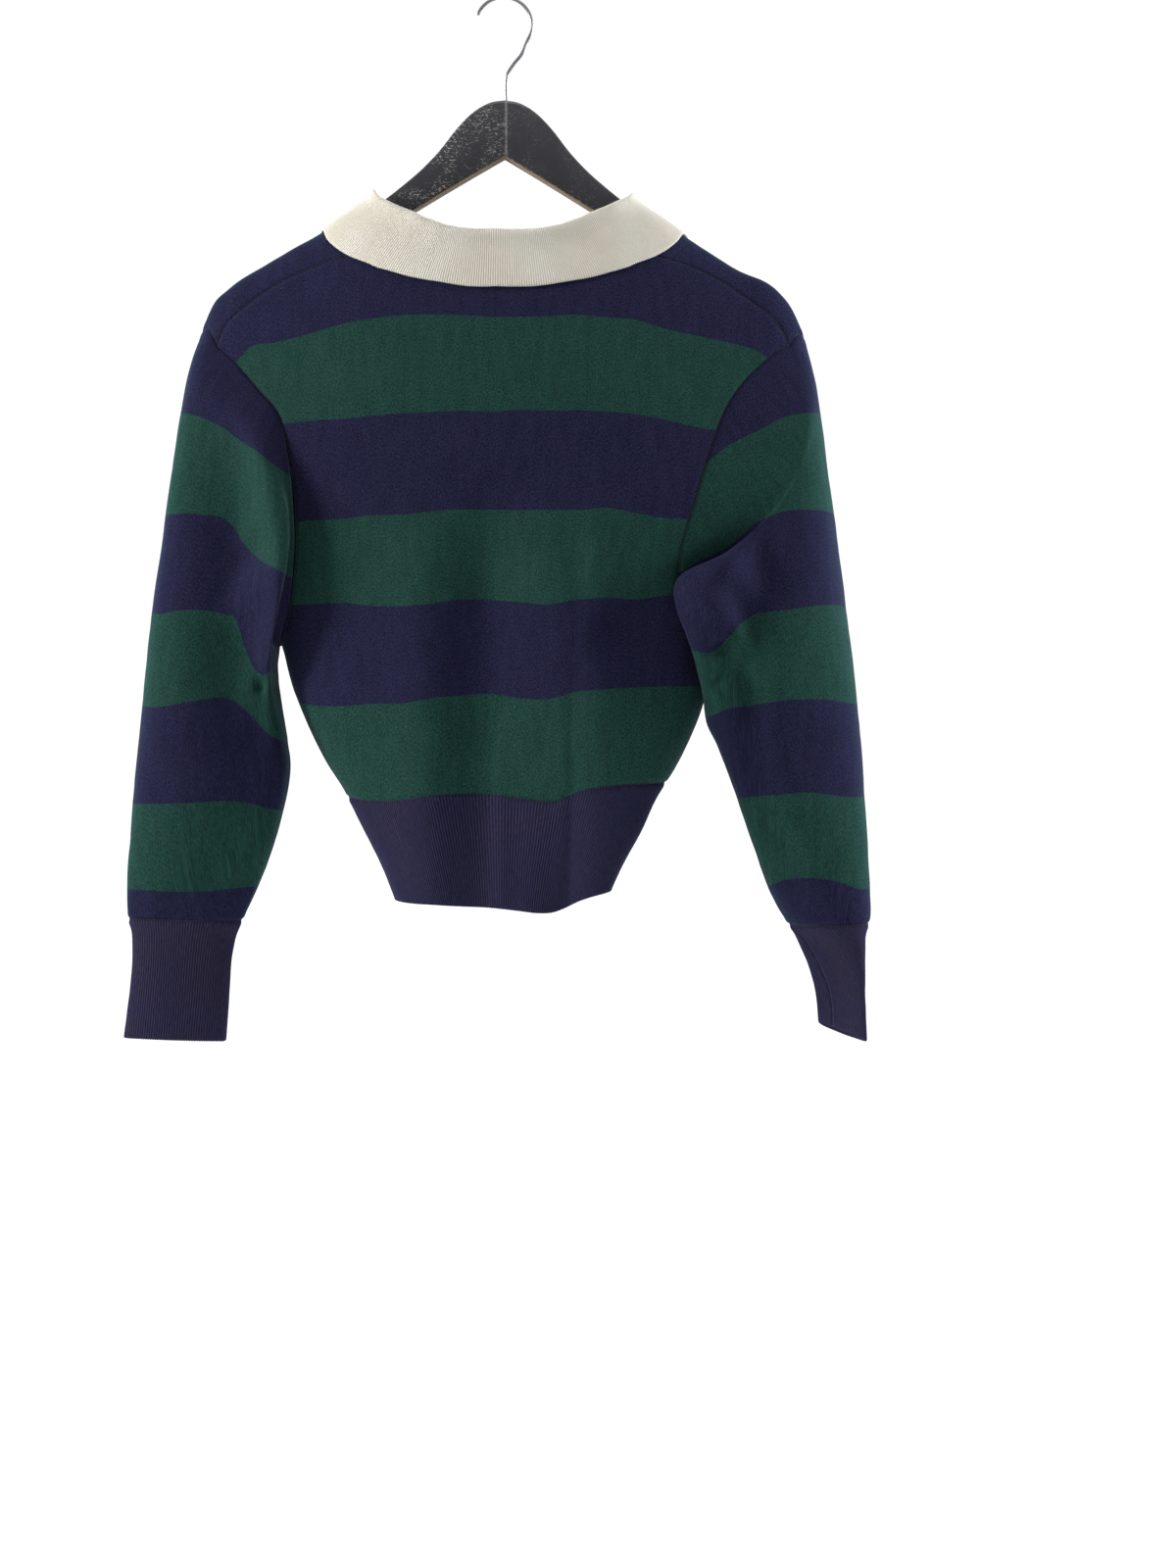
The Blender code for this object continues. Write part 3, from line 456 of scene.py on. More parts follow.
@dataclass(frozen=True)
class Seams:
    """Where the garment is cut and sewn, as places on its body."""

    body: Body
    cells: Cells
    seam_at_neck: int = 3
    ridge_at_neck: int = 6
    armholes: dict[Side, Table] = kept(ARMHOLES)
    shoulder: Table = kept(SHOULDER)
    neck: Table = kept(NECK)
    hem: Table = kept(HEM)

    def armhole(self, side: Side, face: Face) -> Array:
        """Listed places of an armhole, from the shoulder's tip to the underarm."""
        rows = self.armholes[side]
        places = self.body.place(rows["x"], rows["z"], face)
        places[0, 1] = 0.0
        places[-1, 0] = side * math.pi / 2
        return places

    def armhole_over(self, side: Side) -> Array:
        """From the shoulder's tip to the end of the shoulder seam."""
        return even(self.armhole(side, Face.BACK)[:2], self.cells.yoke)

    def armhole_back(self, side: Side) -> Array:
        """From the shoulder seam down the back to the underarm."""
        return even(self.armhole(side, Face.BACK)[1:], self.cells.arm_back)

    def armhole_front(self, side: Side) -> Array:
        """From the shoulder's tip down the front to the underarm."""
        return even(self.armhole(side, Face.FRONT), self.cells.arm_front)

    def armhole_ring(self, side: Side) -> Array:
        """The whole armhole from the shoulder's tip, down the back and up the front."""
        back = joined(self.armhole_over(side), self.armhole_back(side))
        return joined(back, self.armhole_front(side)[::-1])

    def side_seam(self, side: Side, face: Face) -> Array:
        """From the underarm down to the hem band."""
        end = self.hem_line("join", side * math.pi / 2, Face.BACK)
        heights = np.linspace(self.armholes[side]["z"][-1], end, self.cells.side + 1)
        places = self.body.place(self.body.half_width(side, heights) * side, heights, face)
        places[:, 0] = side * math.pi / 2
        return places

    def hem_line(self, line: str, across: Array | float, face: Face) -> Array:
        """Height of the join or lower edge of the hem band, plainly sloping on the front."""
        if face == Face.BACK:
            return curve(self.hem["place"], self.hem[line], np.sin(across))
        ends = [0, -1]
        return np.interp(np.sin(across), self.hem["place"][ends], self.hem[line][ends])

    def hem_level(self, across: Array | float, face: Face, share: float) -> Array:
        """Places round the hem band, from its join at share 0 to its edge at 1.

        Args:
            across: angles round the body.
            face: back or front.
            share: how far down the band.

        Returns:
            The places.
        """
        join, bottom = (self.hem_line(line, across, face) for line in ("join", "bottom"))
        z = (1 - share) * join + share * bottom
        x = self.body.half_width(across, z) * np.sin(across)
        places = self.body.place(x, z, face)
        places[..., 0] = across
        return places

    def shoulder_seam(self, side: Side) -> Array:
        """From the neck out to the armhole, on the back."""
        points = self.body.place(side * self.shoulder["out"], self.shoulder["z"], Face.BACK)
        end = self.armhole(side, Face.BACK)[1:2]
        return even(np.concatenate([points, end]), self.cells.shoulder)

    def neck_rows(self, side: Side) -> Array:
        """Neckline place, free edge's place and height of the stand, down to the V's bottom.

        Args:
            side: the garment's side.

        Returns:
            One row for each listed point.
        """
        neck, edge = (
            self.body.place(side * self.neck[n + "_out"], self.neck[n + "_z"], self.neck["face"])
            for n in ("neck", "edge")
        )
        neck[self.ridge_at_neck, 1] = edge[self.ridge_at_neck, 1] = 0.0
        return np.concatenate([neck, edge, self.neck["stand"][:, None]], axis=1)

    def back_neck(self) -> Array:
        """The neckline between the two shoulder seams."""
        end = self.seam_at_neck + 1
        left, right = (self.neck_rows(side)[:end] for side in Side)
        return even(joined(left[::-1], right), self.cells.neck)

    def half_back_neck(self, side: Side) -> Array:
        """One half of it, from the middle out."""
        rows = self.back_neck()
        middle = len(rows) // 2
        return rows[middle::side]

    def yoke_neck(self, side: Side) -> Array:
        """The neckline from the shoulder seam up to the ridge."""
        rows = self.neck_rows(side)[self.seam_at_neck : self.ridge_at_neck + 1]
        return even(rows, self.cells.yoke)

    def v_neck(self, side: Side) -> Array:
        """The neckline from the ridge down to the bottom of the V."""
        rows = self.neck_rows(side)[self.ridge_at_neck :]
        rows[-1, 0] = 0.0
        return even(rows, self.cells.v)

    def front_middle(self) -> Array:
        """From the bottom of the V down the middle of the front to the hem band."""
        top = self.v_neck(Side.LEFT)[-1, :2]
        foot = self.hem_level(0.0, Face.FRONT, 0)
        return np.linspace(top, foot, self.cells.arm_front + self.cells.side - self.cells.v + 1)

    def ridge_line(self, side: Side) -> Array:
        """The shoulder's ridge from the neck to its tip."""
        ends = [self.yoke_neck(side)[-1, :2], self.armhole(side, Face.FRONT)[0]]
        return even(np.array(ends), self.cells.shoulder)


# --- Stripes -----------------------------------------------------------------------------------
# Heights at which the colour changes, across each piece.
STRIPE_EDGES = {
    "back": table(
        "x c0 c1 c2 c3 c4 c5 c6",
        (-0.204, -0.19, -0.2894, -0.338, -0.41, -0.47, -0.54, -0.626),
        (-0.1914, -0.19, -0.2752, -0.337, -0.41, -0.47, -0.54, -0.626),
        (-0.172, -0.19, -0.2722, -0.335, -0.41, -0.47, -0.54, -0.626),
        (-0.139, -0.19, -0.265, -0.333, -0.408, -0.47, -0.546, -0.626),
        (-0.117, -0.19, -0.2594, -0.3325, -0.4075, -0.4697, -0.5466, -0.626),
        (-0.095, -0.19, -0.2565, -0.331, -0.4053, -0.4726, -0.5452, -0.625),
        (-0.073, -0.19, -0.2543, -0.3295, -0.4053, -0.4733, -0.5452, -0.624),
        (-0.051, -0.19, -0.2543, -0.3288, -0.4031, -0.4718, -0.5416, -0.622),
        (-0.03, -0.19, -0.255, -0.328, -0.4017, -0.4682, -0.5394, -0.621),
        (-0.008, -0.19, -0.2565, -0.3288, -0.4017, -0.4682, -0.538, -0.621),
        (0.014, -0.19, -0.2565, -0.3273, -0.4024, -0.4704, -0.5416, -0.623),
        (0.036, -0.19, -0.2558, -0.328, -0.4024, -0.4726, -0.5423, -0.625),
        (0.058, -0.19, -0.2543, -0.3273, -0.4024, -0.4689, -0.5365, -0.62),
        (0.079, -0.19, -0.2558, -0.328, -0.4002, -0.4667, -0.5343, -0.617),
        (0.101, -0.19, -0.2572, -0.3295, -0.4038, -0.4675, -0.5328, -0.615),
        (0.123, -0.19, -0.2635, -0.3331, -0.4068, -0.464, -0.532, -0.613),
        (0.145, -0.19, -0.2675, -0.3375, -0.407, -0.464, -0.531, -0.612),
        (0.167, -0.19, -0.271, -0.34, -0.408, -0.464, -0.53, -0.612),
        (0.188, -0.19, -0.2757, -0.342, -0.409, -0.464, -0.53, -0.612),
        (0.208, -0.19, -0.2858, -0.344, -0.409, -0.464, -0.53, -0.612),
    ),
    "front": table(
        "x c0 c1 c2 c3 c4 c5 c6",
        (-0.19, -0.19, -0.274, -0.34, -0.41, -0.47, -0.54, -0.623),
        (-0.14, -0.19, -0.264, -0.334, -0.408, -0.472, -0.543, -0.622),
        (-0.07, -0.19, -0.258, -0.33, -0.406, -0.474, -0.544, -0.621),
        (0.0, -0.19, -0.256, -0.329, -0.405, -0.474, -0.543, -0.619),
        (0.07, -0.19, -0.258, -0.33, -0.405, -0.472, -0.54, -0.616),
        (0.14, -0.19, -0.264, -0.333, -0.406, -0.466, -0.534, -0.613),
        (0.19, -0.19, -0.274, -0.34, -0.408, -0.464, -0.53, -0.612),
    ),
    "sleeve_left": table(
        "x c0 c1 c2 c3 c4 c5 c6 c7",
        (-0.275, -0.25, -0.324, -0.4012, -0.4735, -0.5462, -0.6202, -0.6856, -0.741),
        (-0.262, -0.25, -0.324, -0.4012, -0.4762, -0.5468, -0.6202, -0.6863, -0.741),
        (-0.24, -0.25, -0.324, -0.4006, -0.4741, -0.544, -0.6195, -0.687, -0.741),
        (-0.225, -0.252, -0.329, -0.402, -0.4741, -0.5415, -0.619, -0.6866, -0.741),
        (-0.207, -0.26, -0.339, -0.4065, -0.478, -0.5402, -0.618, -0.6848, -0.741),
        (-0.2, -0.266, -0.3445, -0.415, -0.4815, -0.544, -0.6185, -0.684, -0.741),
        (-0.1955, -0.27, -0.348, -0.4227, -0.499, -0.5475, -0.619, -0.6837, -0.741),
        (-0.188, -0.276, -0.353, -0.431, -0.517, -0.5545, -0.6205, -0.6834, -0.741),
        (-0.179, -0.282, -0.359, -0.4385, -0.5232, -0.565, -0.623, -0.6834, -0.741),
        (-0.168, -0.292, -0.368, -0.4445, -0.513, -0.5718, -0.625, -0.6834, -0.741),
        (-0.155, -0.3, -0.3755, -0.452, -0.511, -0.5725, -0.625, -0.6834, -0.741),
    ),
    "sleeve_right": table(
        "x c0 c1 c2 c3 c4 c5 c6 c7",
        (0.128, -0.3, -0.379, -0.45, -0.506, -0.556, -0.617, -0.684, -0.751),
        (0.1415, -0.292, -0.3722, -0.442, -0.506, -0.5545, -0.617, -0.684, -0.751),
        (0.158, -0.282, -0.361, -0.4335, -0.507, -0.5535, -0.6165, -0.684, -0.751),
        (0.168, -0.276, -0.3525, -0.4285, -0.498, -0.549, -0.616, -0.684, -0.75),
        (0.179, -0.27, -0.346, -0.4198, -0.4857, -0.5475, -0.6158, -0.684, -0.749),
        (0.19, -0.264, -0.3408, -0.4096, -0.4785, -0.546, -0.6145, -0.683, -0.748),
        (0.201, -0.258, -0.335, -0.4045, -0.477, -0.544, -0.6135, -0.6833, -0.747),
        (0.212, -0.252, -0.329, -0.401, -0.4755, -0.5425, -0.6128, -0.6782, -0.745),
        (0.234, -0.25, -0.324, -0.3992, -0.472, -0.5415, -0.6115, -0.676, -0.744),
        (0.245, -0.25, -0.3225, -0.399, -0.4705, -0.5417, -0.613, -0.677, -0.744),
        (0.257, -0.25, -0.3225, -0.3998, -0.4698, -0.5432, -0.6145, -0.68, -0.744),
        (0.27, -0.25, -0.3225, -0.3998, -0.4698, -0.544, -0.615, -0.685, -0.744),
    ),
}


@dataclass(frozen=True)
class Stripes:
    """Where the stripes change colour: heights of the changes across each piece."""

    width: float = 0.072
    tables: dict[str, Table] = kept(STRIPE_EDGES)

    def at(self, points: Array, piece: str) -> Array:
        """Counts the colour changes down to each point.

        Args:
            points: points of a piece.
            piece: the table to read.

        Returns:
            A number that passes a whole one at every change of colour.
        """
        rows = self.tables[piece]
        lines = np.stack([rows[name] for name in list(rows)[1:]], axis=1)
        heights = curve(rows["x"], lines, points[..., 0])
        z = points[..., 2]
        count = np.zeros(z.shape)
        last = heights.shape[-1] - 1
        for k in range(last):
            upper, lower = heights[..., k], heights[..., k + 1]
            share = (upper - z) / (upper - lower)
            share = share if k == 0 else np.maximum(share, 0)
            count += share if k == last - 1 else np.minimum(share, 1)
        return count


# --- Cloth -------------------------------------------------------------------------------------
@dataclass
class Patch:
    """A grid of points of one skin, with its knit coordinates.

    Attributes:
        points: rows of points.
        knit: distance along the courses and down the wales at each point.
        stripe: count of colour changes at each point.
        flip: whether the grid's own faces point inwards.
        free: whether its last row is a free edge and no seam.
        seams: columns along which the piece is sewn to itself.
    """

    points: Array
    knit: Array
    stripe: Array
    flip: bool = False
    free: bool = False
    seams: tuple[int, ...] = ()


@dataclass(frozen=True)
class Cloth:
    """How a knitted skin gets its wall, its rolled seams and its small unevenness."""

    wall: float = 0.0018
    seam_dip: float = 0.0010
    seam_width: float = 0.0015
    swell: float = 0.0003
    swell_at: float = 0.0045
    swell_width: float = 0.002
    unevenness: float = 0.0006
    ripples: tuple[tuple[float, float], ...] = ((30.0, 1.0), (95.0, 0.3))
    rim_turns: tuple[float, ...] = (0.9, 2.24)
    doubles: float = 2e-5
    slivers: float = 1e-6

    def skin(self, name: str, patches: list[Patch]) -> bpy.types.Mesh:
        """Joins patches to one skin.

        Args:
            name: the mesh's name.
            patches: the grids.

        Returns:
            A mesh with doubles merged, a UV map "knit" and attributes "stripe" and "free".
        """
        points, knit, stripe, free, faces = [], [], [], [], []
        start = 0
        for patch in patches:
            rows, columns = patch.points.shape[:2]
            ids = start + np.arange(rows * columns).reshape(rows, columns)
            quads = np.stack([ids[:-1, :-1], ids[1:, :-1], ids[1:, 1:], ids[:-1, 1:]], axis=-1)
            quads = quads.reshape(-1, 4)
            faces.append(quads[:, ::-1] if patch.flip else quads)
            points.append(patch.points.reshape(-1, 3))
            knit.append(patch.knit.reshape(-1, 2))
            stripe.append(patch.stripe.reshape(-1))
            mark = np.zeros((rows, columns))
            mark[-1] = patch.free
            mark[:, list(patch.seams)] = SEWN
            free.append(mark.reshape(-1))
            start += rows * columns
        mesh = bpy.data.meshes.new(name)
        faces = np.concatenate(faces)
        mesh.from_pydata(np.concatenate(points), [], faces.tolist())
        layer = mesh.uv_layers.new(name="knit")
        layer.data.foreach_set("uv", np.concatenate(knit)[faces.ravel()].ravel())
        for title, values in (("stripe", stripe), ("free", free)):
            set_values(mesh, title, np.concatenate(values))
        bm = bmesh.new()
        bm.from_mesh(mesh)
        bmesh.ops.remove_doubles(bm, verts=bm.verts, dist=self.doubles)
        bmesh.ops.dissolve_degenerate(bm, edges=bm.edges, dist=self.slivers)
        bm.to_mesh(mesh)
        bm.free()
        return mesh

    def roll_seams(self, mesh: bpy.types.Mesh) -> None:
        """Sinks the cloth beside its seams and makes it a little uneven.

        Args:
            mesh: a skin, which is changed.
        """
        co, normals = points_of(mesh), normals_of(mesh)
        free = values_of(mesh, "free")
        edge = np.unique(open_loops(mesh)[:, 0])
        seam = [i for i in edge if free[i] < 0.5] + list(np.where(free == SEWN)[0])
        tree = KDTree(max(len(seam), 1))
        for i in seam:
            tree.insert(co[i], int(i))
        tree.balance()
        away = np.array([tree.find(p)[2] for p in co]) if seam else np.full(len(co), 1.0)
        move = self.swell * bump(away, self.swell_at, self.swell_width)
        move -= self.seam_dip * bump(away, 0.0, self.seam_width)
        for fineness, share in self.ripples:
            ripple = np.array([noise.noise(Vector(p) * fineness) for p in co])
            move += self.unevenness * share * ripple
        mesh.vertices.foreach_set("co", (co + normals * move[:, None]).ravel())
        mesh.update()

    def thicken(self, mesh: bpy.types.Mesh, name: str) -> bpy.types.Mesh:
        """Gives a skin its wall inwards and a round edge at its openings.

        Args:
            mesh: the outer skin, which is removed.
            name: name of the new mesh.

        Returns:
            A closed mesh with the skin's UV map and its stripe attribute.
        """
        co, normals = points_of(mesh), normals_of(mesh)
        stripe, uv = values_of(mesh, "stripe"), uv_of(mesh)
        loops = open_loops(mesh)
        a, b = loops[:, 0], loops[:, 1]
        out = np.zeros_like(co)
        step = np.cross(co[b] - co[a], normals[a])
        np.add.at(out, a, step)
        np.add.at(out, b, step)
        out = unit(out)
        count = len(co)
        inner = co - normals * self.wall
        middle = (co + inner) / 2
        rings = [
            middle + (normals * math.cos(t) + out * math.sin(t)) * self.wall / 2
            for t in self.rim_turns
        ]
        faces = [list(p.vertices) for p in mesh.polygons]
        uvs = [uv[list(p.loop_indices)] for p in mesh.polygons]
        faces += [[v + count for v in face[::-1]] for face in faces[:]]
        uvs += [values[::-1] for values in uvs[:]]
        ids = np.full(count, -1)
        border = np.unique(a)
        ids[border] = np.arange(len(border))
        levels = [np.arange(count)]
        levels += [2 * count + k * len(border) + ids for k in range(len(rings))]
        levels += [count + np.arange(count)]
        for upper, lower in zip(levels, levels[1:]):
            rim = np.stack([upper[b], upper[a], lower[a], lower[b]], axis=1)
            faces += rim.tolist()
            uvs += list(np.stack([uv[loops[:, corner]] for corner in (3, 2, 2, 3)], axis=1))
        rim_points = np.concatenate([ring[border] for ring in rings])
        closed = bpy.data.meshes.new(name)
        closed.from_pydata(np.concatenate([co, inner, rim_points]), [], faces)
        closed.uv_layers.new(name="knit").data.foreach_set("uv", np.concatenate(uvs).ravel())
        values = np.concatenate([stripe, stripe, np.tile(stripe[border], len(rings))])
        set_values(closed, "stripe", values)
        closed.shade_smooth()
        bpy.data.meshes.remove(mesh)
        return closed

    def sew(self, name: str, patches: list[Patch]) -> Object:
        """Makes one piece of cloth from its patches.

        Args:
            name: the piece's name.
            patches: grids of its outer skin.

        Returns:
            The piece, a closed thin shell.
        """
        mesh = self.skin(name + "_skin", patches)
        self.roll_seams(mesh)
        return add_object(name, self.thicken(mesh, name))


def points_of(mesh: bpy.types.Mesh) -> Array:
    """A mesh's points as an array."""
    co = np.zeros(len(mesh.vertices) * 3)
    mesh.vertices.foreach_get("co", co)
    return co.reshape(-1, 3)


def normals_of(mesh: bpy.types.Mesh) -> Array:
    """A mesh's normals at its points."""
    normals = np.zeros(len(mesh.vertices) * 3)
    mesh.vertices.foreach_get("normal", normals)
    return normals.reshape(-1, 3)


def uv_of(mesh: bpy.types.Mesh) -> Array:
    """The knit coordinates of a mesh's corners."""
    uv = np.zeros(len(mesh.loops) * 2)
    mesh.uv_layers["knit"].data.foreach_get("uv", uv)
    return uv.reshape(-1, 2)


def values_of(mesh: bpy.types.Mesh, name: str) -> Array:
    """An attribute's numbers, one for each point."""
    values = np.zeros(len(mesh.vertices))
    mesh.attributes[name].data.foreach_get("value", values)
    return values


def set_values(mesh: bpy.types.Mesh, name: str, values: Array) -> None:
    """Adds an attribute with one number for each point."""
    mesh.attributes.new(name, "FLOAT", "POINT").data.foreach_set("value", values)


def open_loops(mesh: bpy.types.Mesh) -> Array:
    """Finds the edges that have one face.

    Args:
        mesh: a skin.

    Returns:
        For each: its two points and its two corners, in the face's direction.
    """
    seen: dict[tuple[int, int], tuple[int, int]] = {}
    for polygon in mesh.polygons:
        corners = list(polygon.loop_indices)
        points = list(polygon.vertices)
        for k in range(len(points)):
            n = (k + 1) % len(points)
            seen[(points[k], points[n])] = (corners[k], corners[n])
    return np.array([(*key, *value) for key, value in seen.items() if key[::-1] not in seen])


def add_object(name: str, data: bpy.types.ID) -> Object:
    """Puts data in the scene as an object at the origin."""
    obj = bpy.data.objects.new(name, data)
    bpy.context.scene.collection.objects.link(obj)
    return obj


def area_of(obj: Object) -> float:
    """The area of the cloth in a thin closed shell."""
    return sum(p.area for p in obj.data.polygons) / 2


# --- Node trees --------------------------------------------------------------------------------
class Wiring:
    """Helps to write a node tree as sums of sockets."""

    def __init__(self, tree: bpy.types.NodeTree) -> None:
        """Keeps the tree that nodes are added to."""
        self.tree = tree

    def node(self, kind: str, *inputs: object, **settings: object) -> Node:
        """Adds a node.

        Args:
            kind: the node's type.
            inputs: values or sockets for its inputs, in order; None leaves one as it is.
            settings: its properties.

        Returns:
            The node.
        """
        node = self.tree.nodes.new(kind)
        for key, value in settings.items():
            setattr(node, key, value)
        for socket, value in zip(node.inputs, inputs):
            self.put(socket, value)
        return node

    def put(self, socket: Socket, value: object) -> None:
        """Sets or links one input."""
        if isinstance(value, bpy.types.NodeSocket):
            self.tree.links.new(value, socket)
        elif value is not None:
            socket.default_value = value

    def math(self, operation: str, *inputs: object) -> Socket:
        """A math node's result."""
        return self.node("ShaderNodeMath", *inputs, operation=operation).outputs[0]

    def vector(self, operation: str, *inputs: object) -> Socket:
        """A vector math node's result."""
        return self.node("ShaderNodeVectorMath", *inputs, operation=operation).outputs[0]

    def ramp(self, value: object, low: float, high: float, start: float, end: float) -> Socket:
        """Maps a range onto another, kept within it."""
        return self.node("ShaderNodeMapRange", value, low, high, start, end).outputs[0]

    def mix(self, share: object, first: object, second: object, blend: str = "MIX") -> Socket:
        """A mixed colour.

        Args:
            share: how much of the second.
            first: a colour or socket.
            second: another one.
            blend: how they mix.

        Returns:
            The result.
        """
        node = self.tree.nodes.new("ShaderNodeMix")
        node.data_type = "RGBA"
        node.blend_type = blend
        self.put(node.inputs[0], share)
        self.put(node.inputs[6], colour4(first))
        self.put(node.inputs[7], colour4(second))
        return node.outputs[2]

    def grain(self, vector: Socket, scale: float, detail: float = 2.0, rough: float = 0.5) -> Socket:
        """Noise from 0 to 1."""
        node = self.node("ShaderNodeTexNoise", vector)
        for title, value in (("Scale", scale), ("Detail", detail), ("Roughness", rough)):
            node.inputs[title].default_value = value
        return node.outputs["Fac"]

    def stretched(self, vector: Socket, scale: tuple[float, float], *detail: float) -> Socket:
        """Noise that is stretched along the knit."""
        return self.grain(self.vector("MULTIPLY", vector, (*scale, 1.0)), 1.0, *detail)

    def spread(self, noise_value: Socket, low: float, high: float) -> Socket:
        """The middle of a noise, spread over a range."""
        return self.ramp(noise_value, 0.3, 0.7, low, high)

    def shaded(self, shade: Socket, colour: object) -> Socket:
        """A colour made lighter or darker."""
        node = self.node("ShaderNodeHueSaturation", 0.5, 1.0, shade, 1.0, colour4(colour))
        return node.outputs[0]

    def relief(self, shader: Node, height: Socket, strength: float, distance: float) -> None:
        """Gives a shader its fine relief."""
        node = self.node("ShaderNodeBump")
        node.inputs["Strength"].default_value = strength
        node.inputs["Distance"].default_value = distance
        self.put(node.inputs["Height"], height)
        self.put(shader.inputs["Normal"], node.outputs[0])


def colour4(value: object) -> object:
    """A colour with its alpha, and any other value as it is."""
    return (*value, 1.0) if isinstance(value, tuple) and len(value) == 3 else value


@dataclass(frozen=True)
class Finish:
    """A surface's steady values, for the shader's own sockets."""

    name: str
    roughness: float = 0.9
    metallic: float = 0.0
    sheen: float = 0.0
    sheen_roughness: float = 0.5
    sheen_tint: Colour = (1.0, 1.0, 1.0)
    specular: float = 0.3
    coat: float = 0.0

    def start(self) -> tuple[bpy.types.Material, Wiring, Node]:
        """Makes the material and its shader.

        Returns:
            The material, its wiring and its shader.
        """
        material = bpy.data.materials.new(self.name)
        material.use_nodes = True
        wiring = Wiring(material.node_tree)
        shader = material.node_tree.nodes["Principled BSDF"]
        values = {
            "Roughness": self.roughness,
            "Metallic": self.metallic,
            "Sheen Weight": self.sheen,
            "Sheen Roughness": self.sheen_roughness,
            "Sheen Tint": (*self.sheen_tint, 1.0),
            "Specular IOR Level": self.specular,
            "Coat Weight": self.coat,
        }
        for title, value in values.items():
            shader.inputs[title].default_value = value
        return material, wiring, shader


@dataclass(frozen=True)
class PlainKnit(Finish):
    """Fine plain knit in two colours of stripe, with painted shade in the hollows of its stitches."""

    navy: Colour = (0.0145, 0.0145, 0.039)
    green: Colour = (0.0135, 0.042, 0.034)
    navy_lint: Colour = (0.050, 0.050, 0.115)
    green_lint: Colour = (0.035, 0.150, 0.120)
    wale: float = 0.0014
    course: float = 0.0011
    lint_share: float = 0.7
    relief_strength: float = 0.4
    relief_depth: float = 0.00016

    def make(self) -> bpy.types.Material:
        """Builds the material.

        Returns:
            The striped knit.
        """
        material, w, shader = self.start()
        uv = w.node("ShaderNodeUVMap", uv_map="knit").outputs[0]
        split = w.node("ShaderNodeSeparateXYZ", uv)
        column = w.math("FRACT", w.math("DIVIDE", split.outputs[0], self.wale))
        leg = w.math("ABSOLUTE", w.math("SUBTRACT", w.math("MULTIPLY", column, 2.0), 1.0))
        row = w.math("DIVIDE", split.outputs[1], self.course)
        row = w.math("FRACT", w.math("ADD", row, w.math("MULTIPLY", leg, 0.6)))
        across = w.math("SINE", w.math("MULTIPLY", leg, math.pi))
        along = w.math("SINE", w.math("MULTIPLY", row, math.pi))
        height = w.math("MULTIPLY", w.math("POWER", across, 0.5), w.math("ADD", along, 0.4))
        stripe = w.node("ShaderNodeAttribute", attribute_name="stripe").outputs["Fac"]
        ragged = w.math("MULTIPLY_ADD", leg, 0.006, stripe)
        parity = w.math("MODULO", w.math("FLOOR", ragged), 2.0)
        colour = w.mix(parity, self.navy, self.green)
        heather = w.spread(w.stretched(uv, (860.0, 600.0), 2.0, 0.6), 0.5, 1.5)
        cloudy = w.spread(w.stretched(uv, (160.0, 40.0), 2.0, 0.5), 0.88, 1.12)
        shade = w.math("MULTIPLY", heather, cloudy)
        # Painted shade: the colour darkens in the hollows between stitches and lightens on their
        # tops.
        shade = w.math("MULTIPLY", shade, w.ramp(height, 0.0, 1.4, 0.6, 1.15))
        fibres = w.stretched(uv, (2400.0, 1500.0), 1.0, 0.5)
        paler = w.mix(parity, self.navy_lint, self.green_lint)
        lint = w.ramp(fibres, 0.60, 0.72, 0.0, self.lint_share)
        w.put(shader.inputs["Base Color"], w.mix(lint, w.shaded(shade, colour), paler))
        relief = w.math("ADD", height, w.math("MULTIPLY", fibres, 0.8))
        w.relief(shader, relief, self.relief_strength, self.relief_depth)
        return material


@dataclass(frozen=True)
class RibKnit(Finish):
    """Rib knit in one colour, with painted shade in the valleys between ribs; the ribs themselves are
    in the mesh.
    """

    colour: Colour = (0.014, 0.0135, 0.036)
    paler: Colour = (0.040, 0.040, 0.080)
    course: float = 0.0011
    lint_share: float = 0.5
    relief_strength: float = 0.4
    relief_depth: float = 0.00012
    # valley: how dark the painted shade in the valleys between ribs makes the colour.
    valley: float = 0.5
    heather: float = 0.25
    warm: Colour = (0.014, 0.0135, 0.036)

    def make(self) -> bpy.types.Material:
        """Builds the material.

        Returns:
            The rib knit.
        """
        material, w, shader = self.start()
        uv = w.node("ShaderNodeUVMap", uv_map="knit").outputs[0]
        split = w.node("ShaderNodeSeparateXYZ", uv)
        turn = w.math("MULTIPLY", split.outputs[0], 2 * math.pi / RIB_PITCH)
        crest = w.math("MULTIPLY_ADD", w.math("COSINE", turn), 0.5, 0.5)
        row = w.math("FRACT", w.math("DIVIDE", split.outputs[1], self.course))
        along = w.math("SINE", w.math("MULTIPLY", row, math.pi))
        heather = w.stretched(uv, (900.0, 220.0), 3.0, 0.6)
        cloudy = w.grain(uv, 22.0, 2.0, 0.5)
        base = w.mix(w.ramp(cloudy, 0.35, 0.65, 0.0, 1.0), self.colour, self.warm)
        shade = w.spread(heather, 1 - self.heather, 1 + self.heather)
        # Painted shade: the colour darkens in the valleys between ribs and lightens a little on their
        # crests.
        shade = w.math("MULTIPLY", shade, w.ramp(crest, 0.0, 1.0, self.valley, 1.08))
        fibres = w.stretched(uv, (2400.0, 1500.0), 1.0, 0.5)
        lint = w.ramp(fibres, 0.62, 0.74, 0.0, self.lint_share)
        w.put(shader.inputs["Base Color"], w.mix(lint, w.shaded(shade, base), self.paler))
        relief = w.math("MULTIPLY_ADD", fibres, 0.8, along)
        w.relief(shader, relief, self.relief_strength, self.relief_depth)
        return material


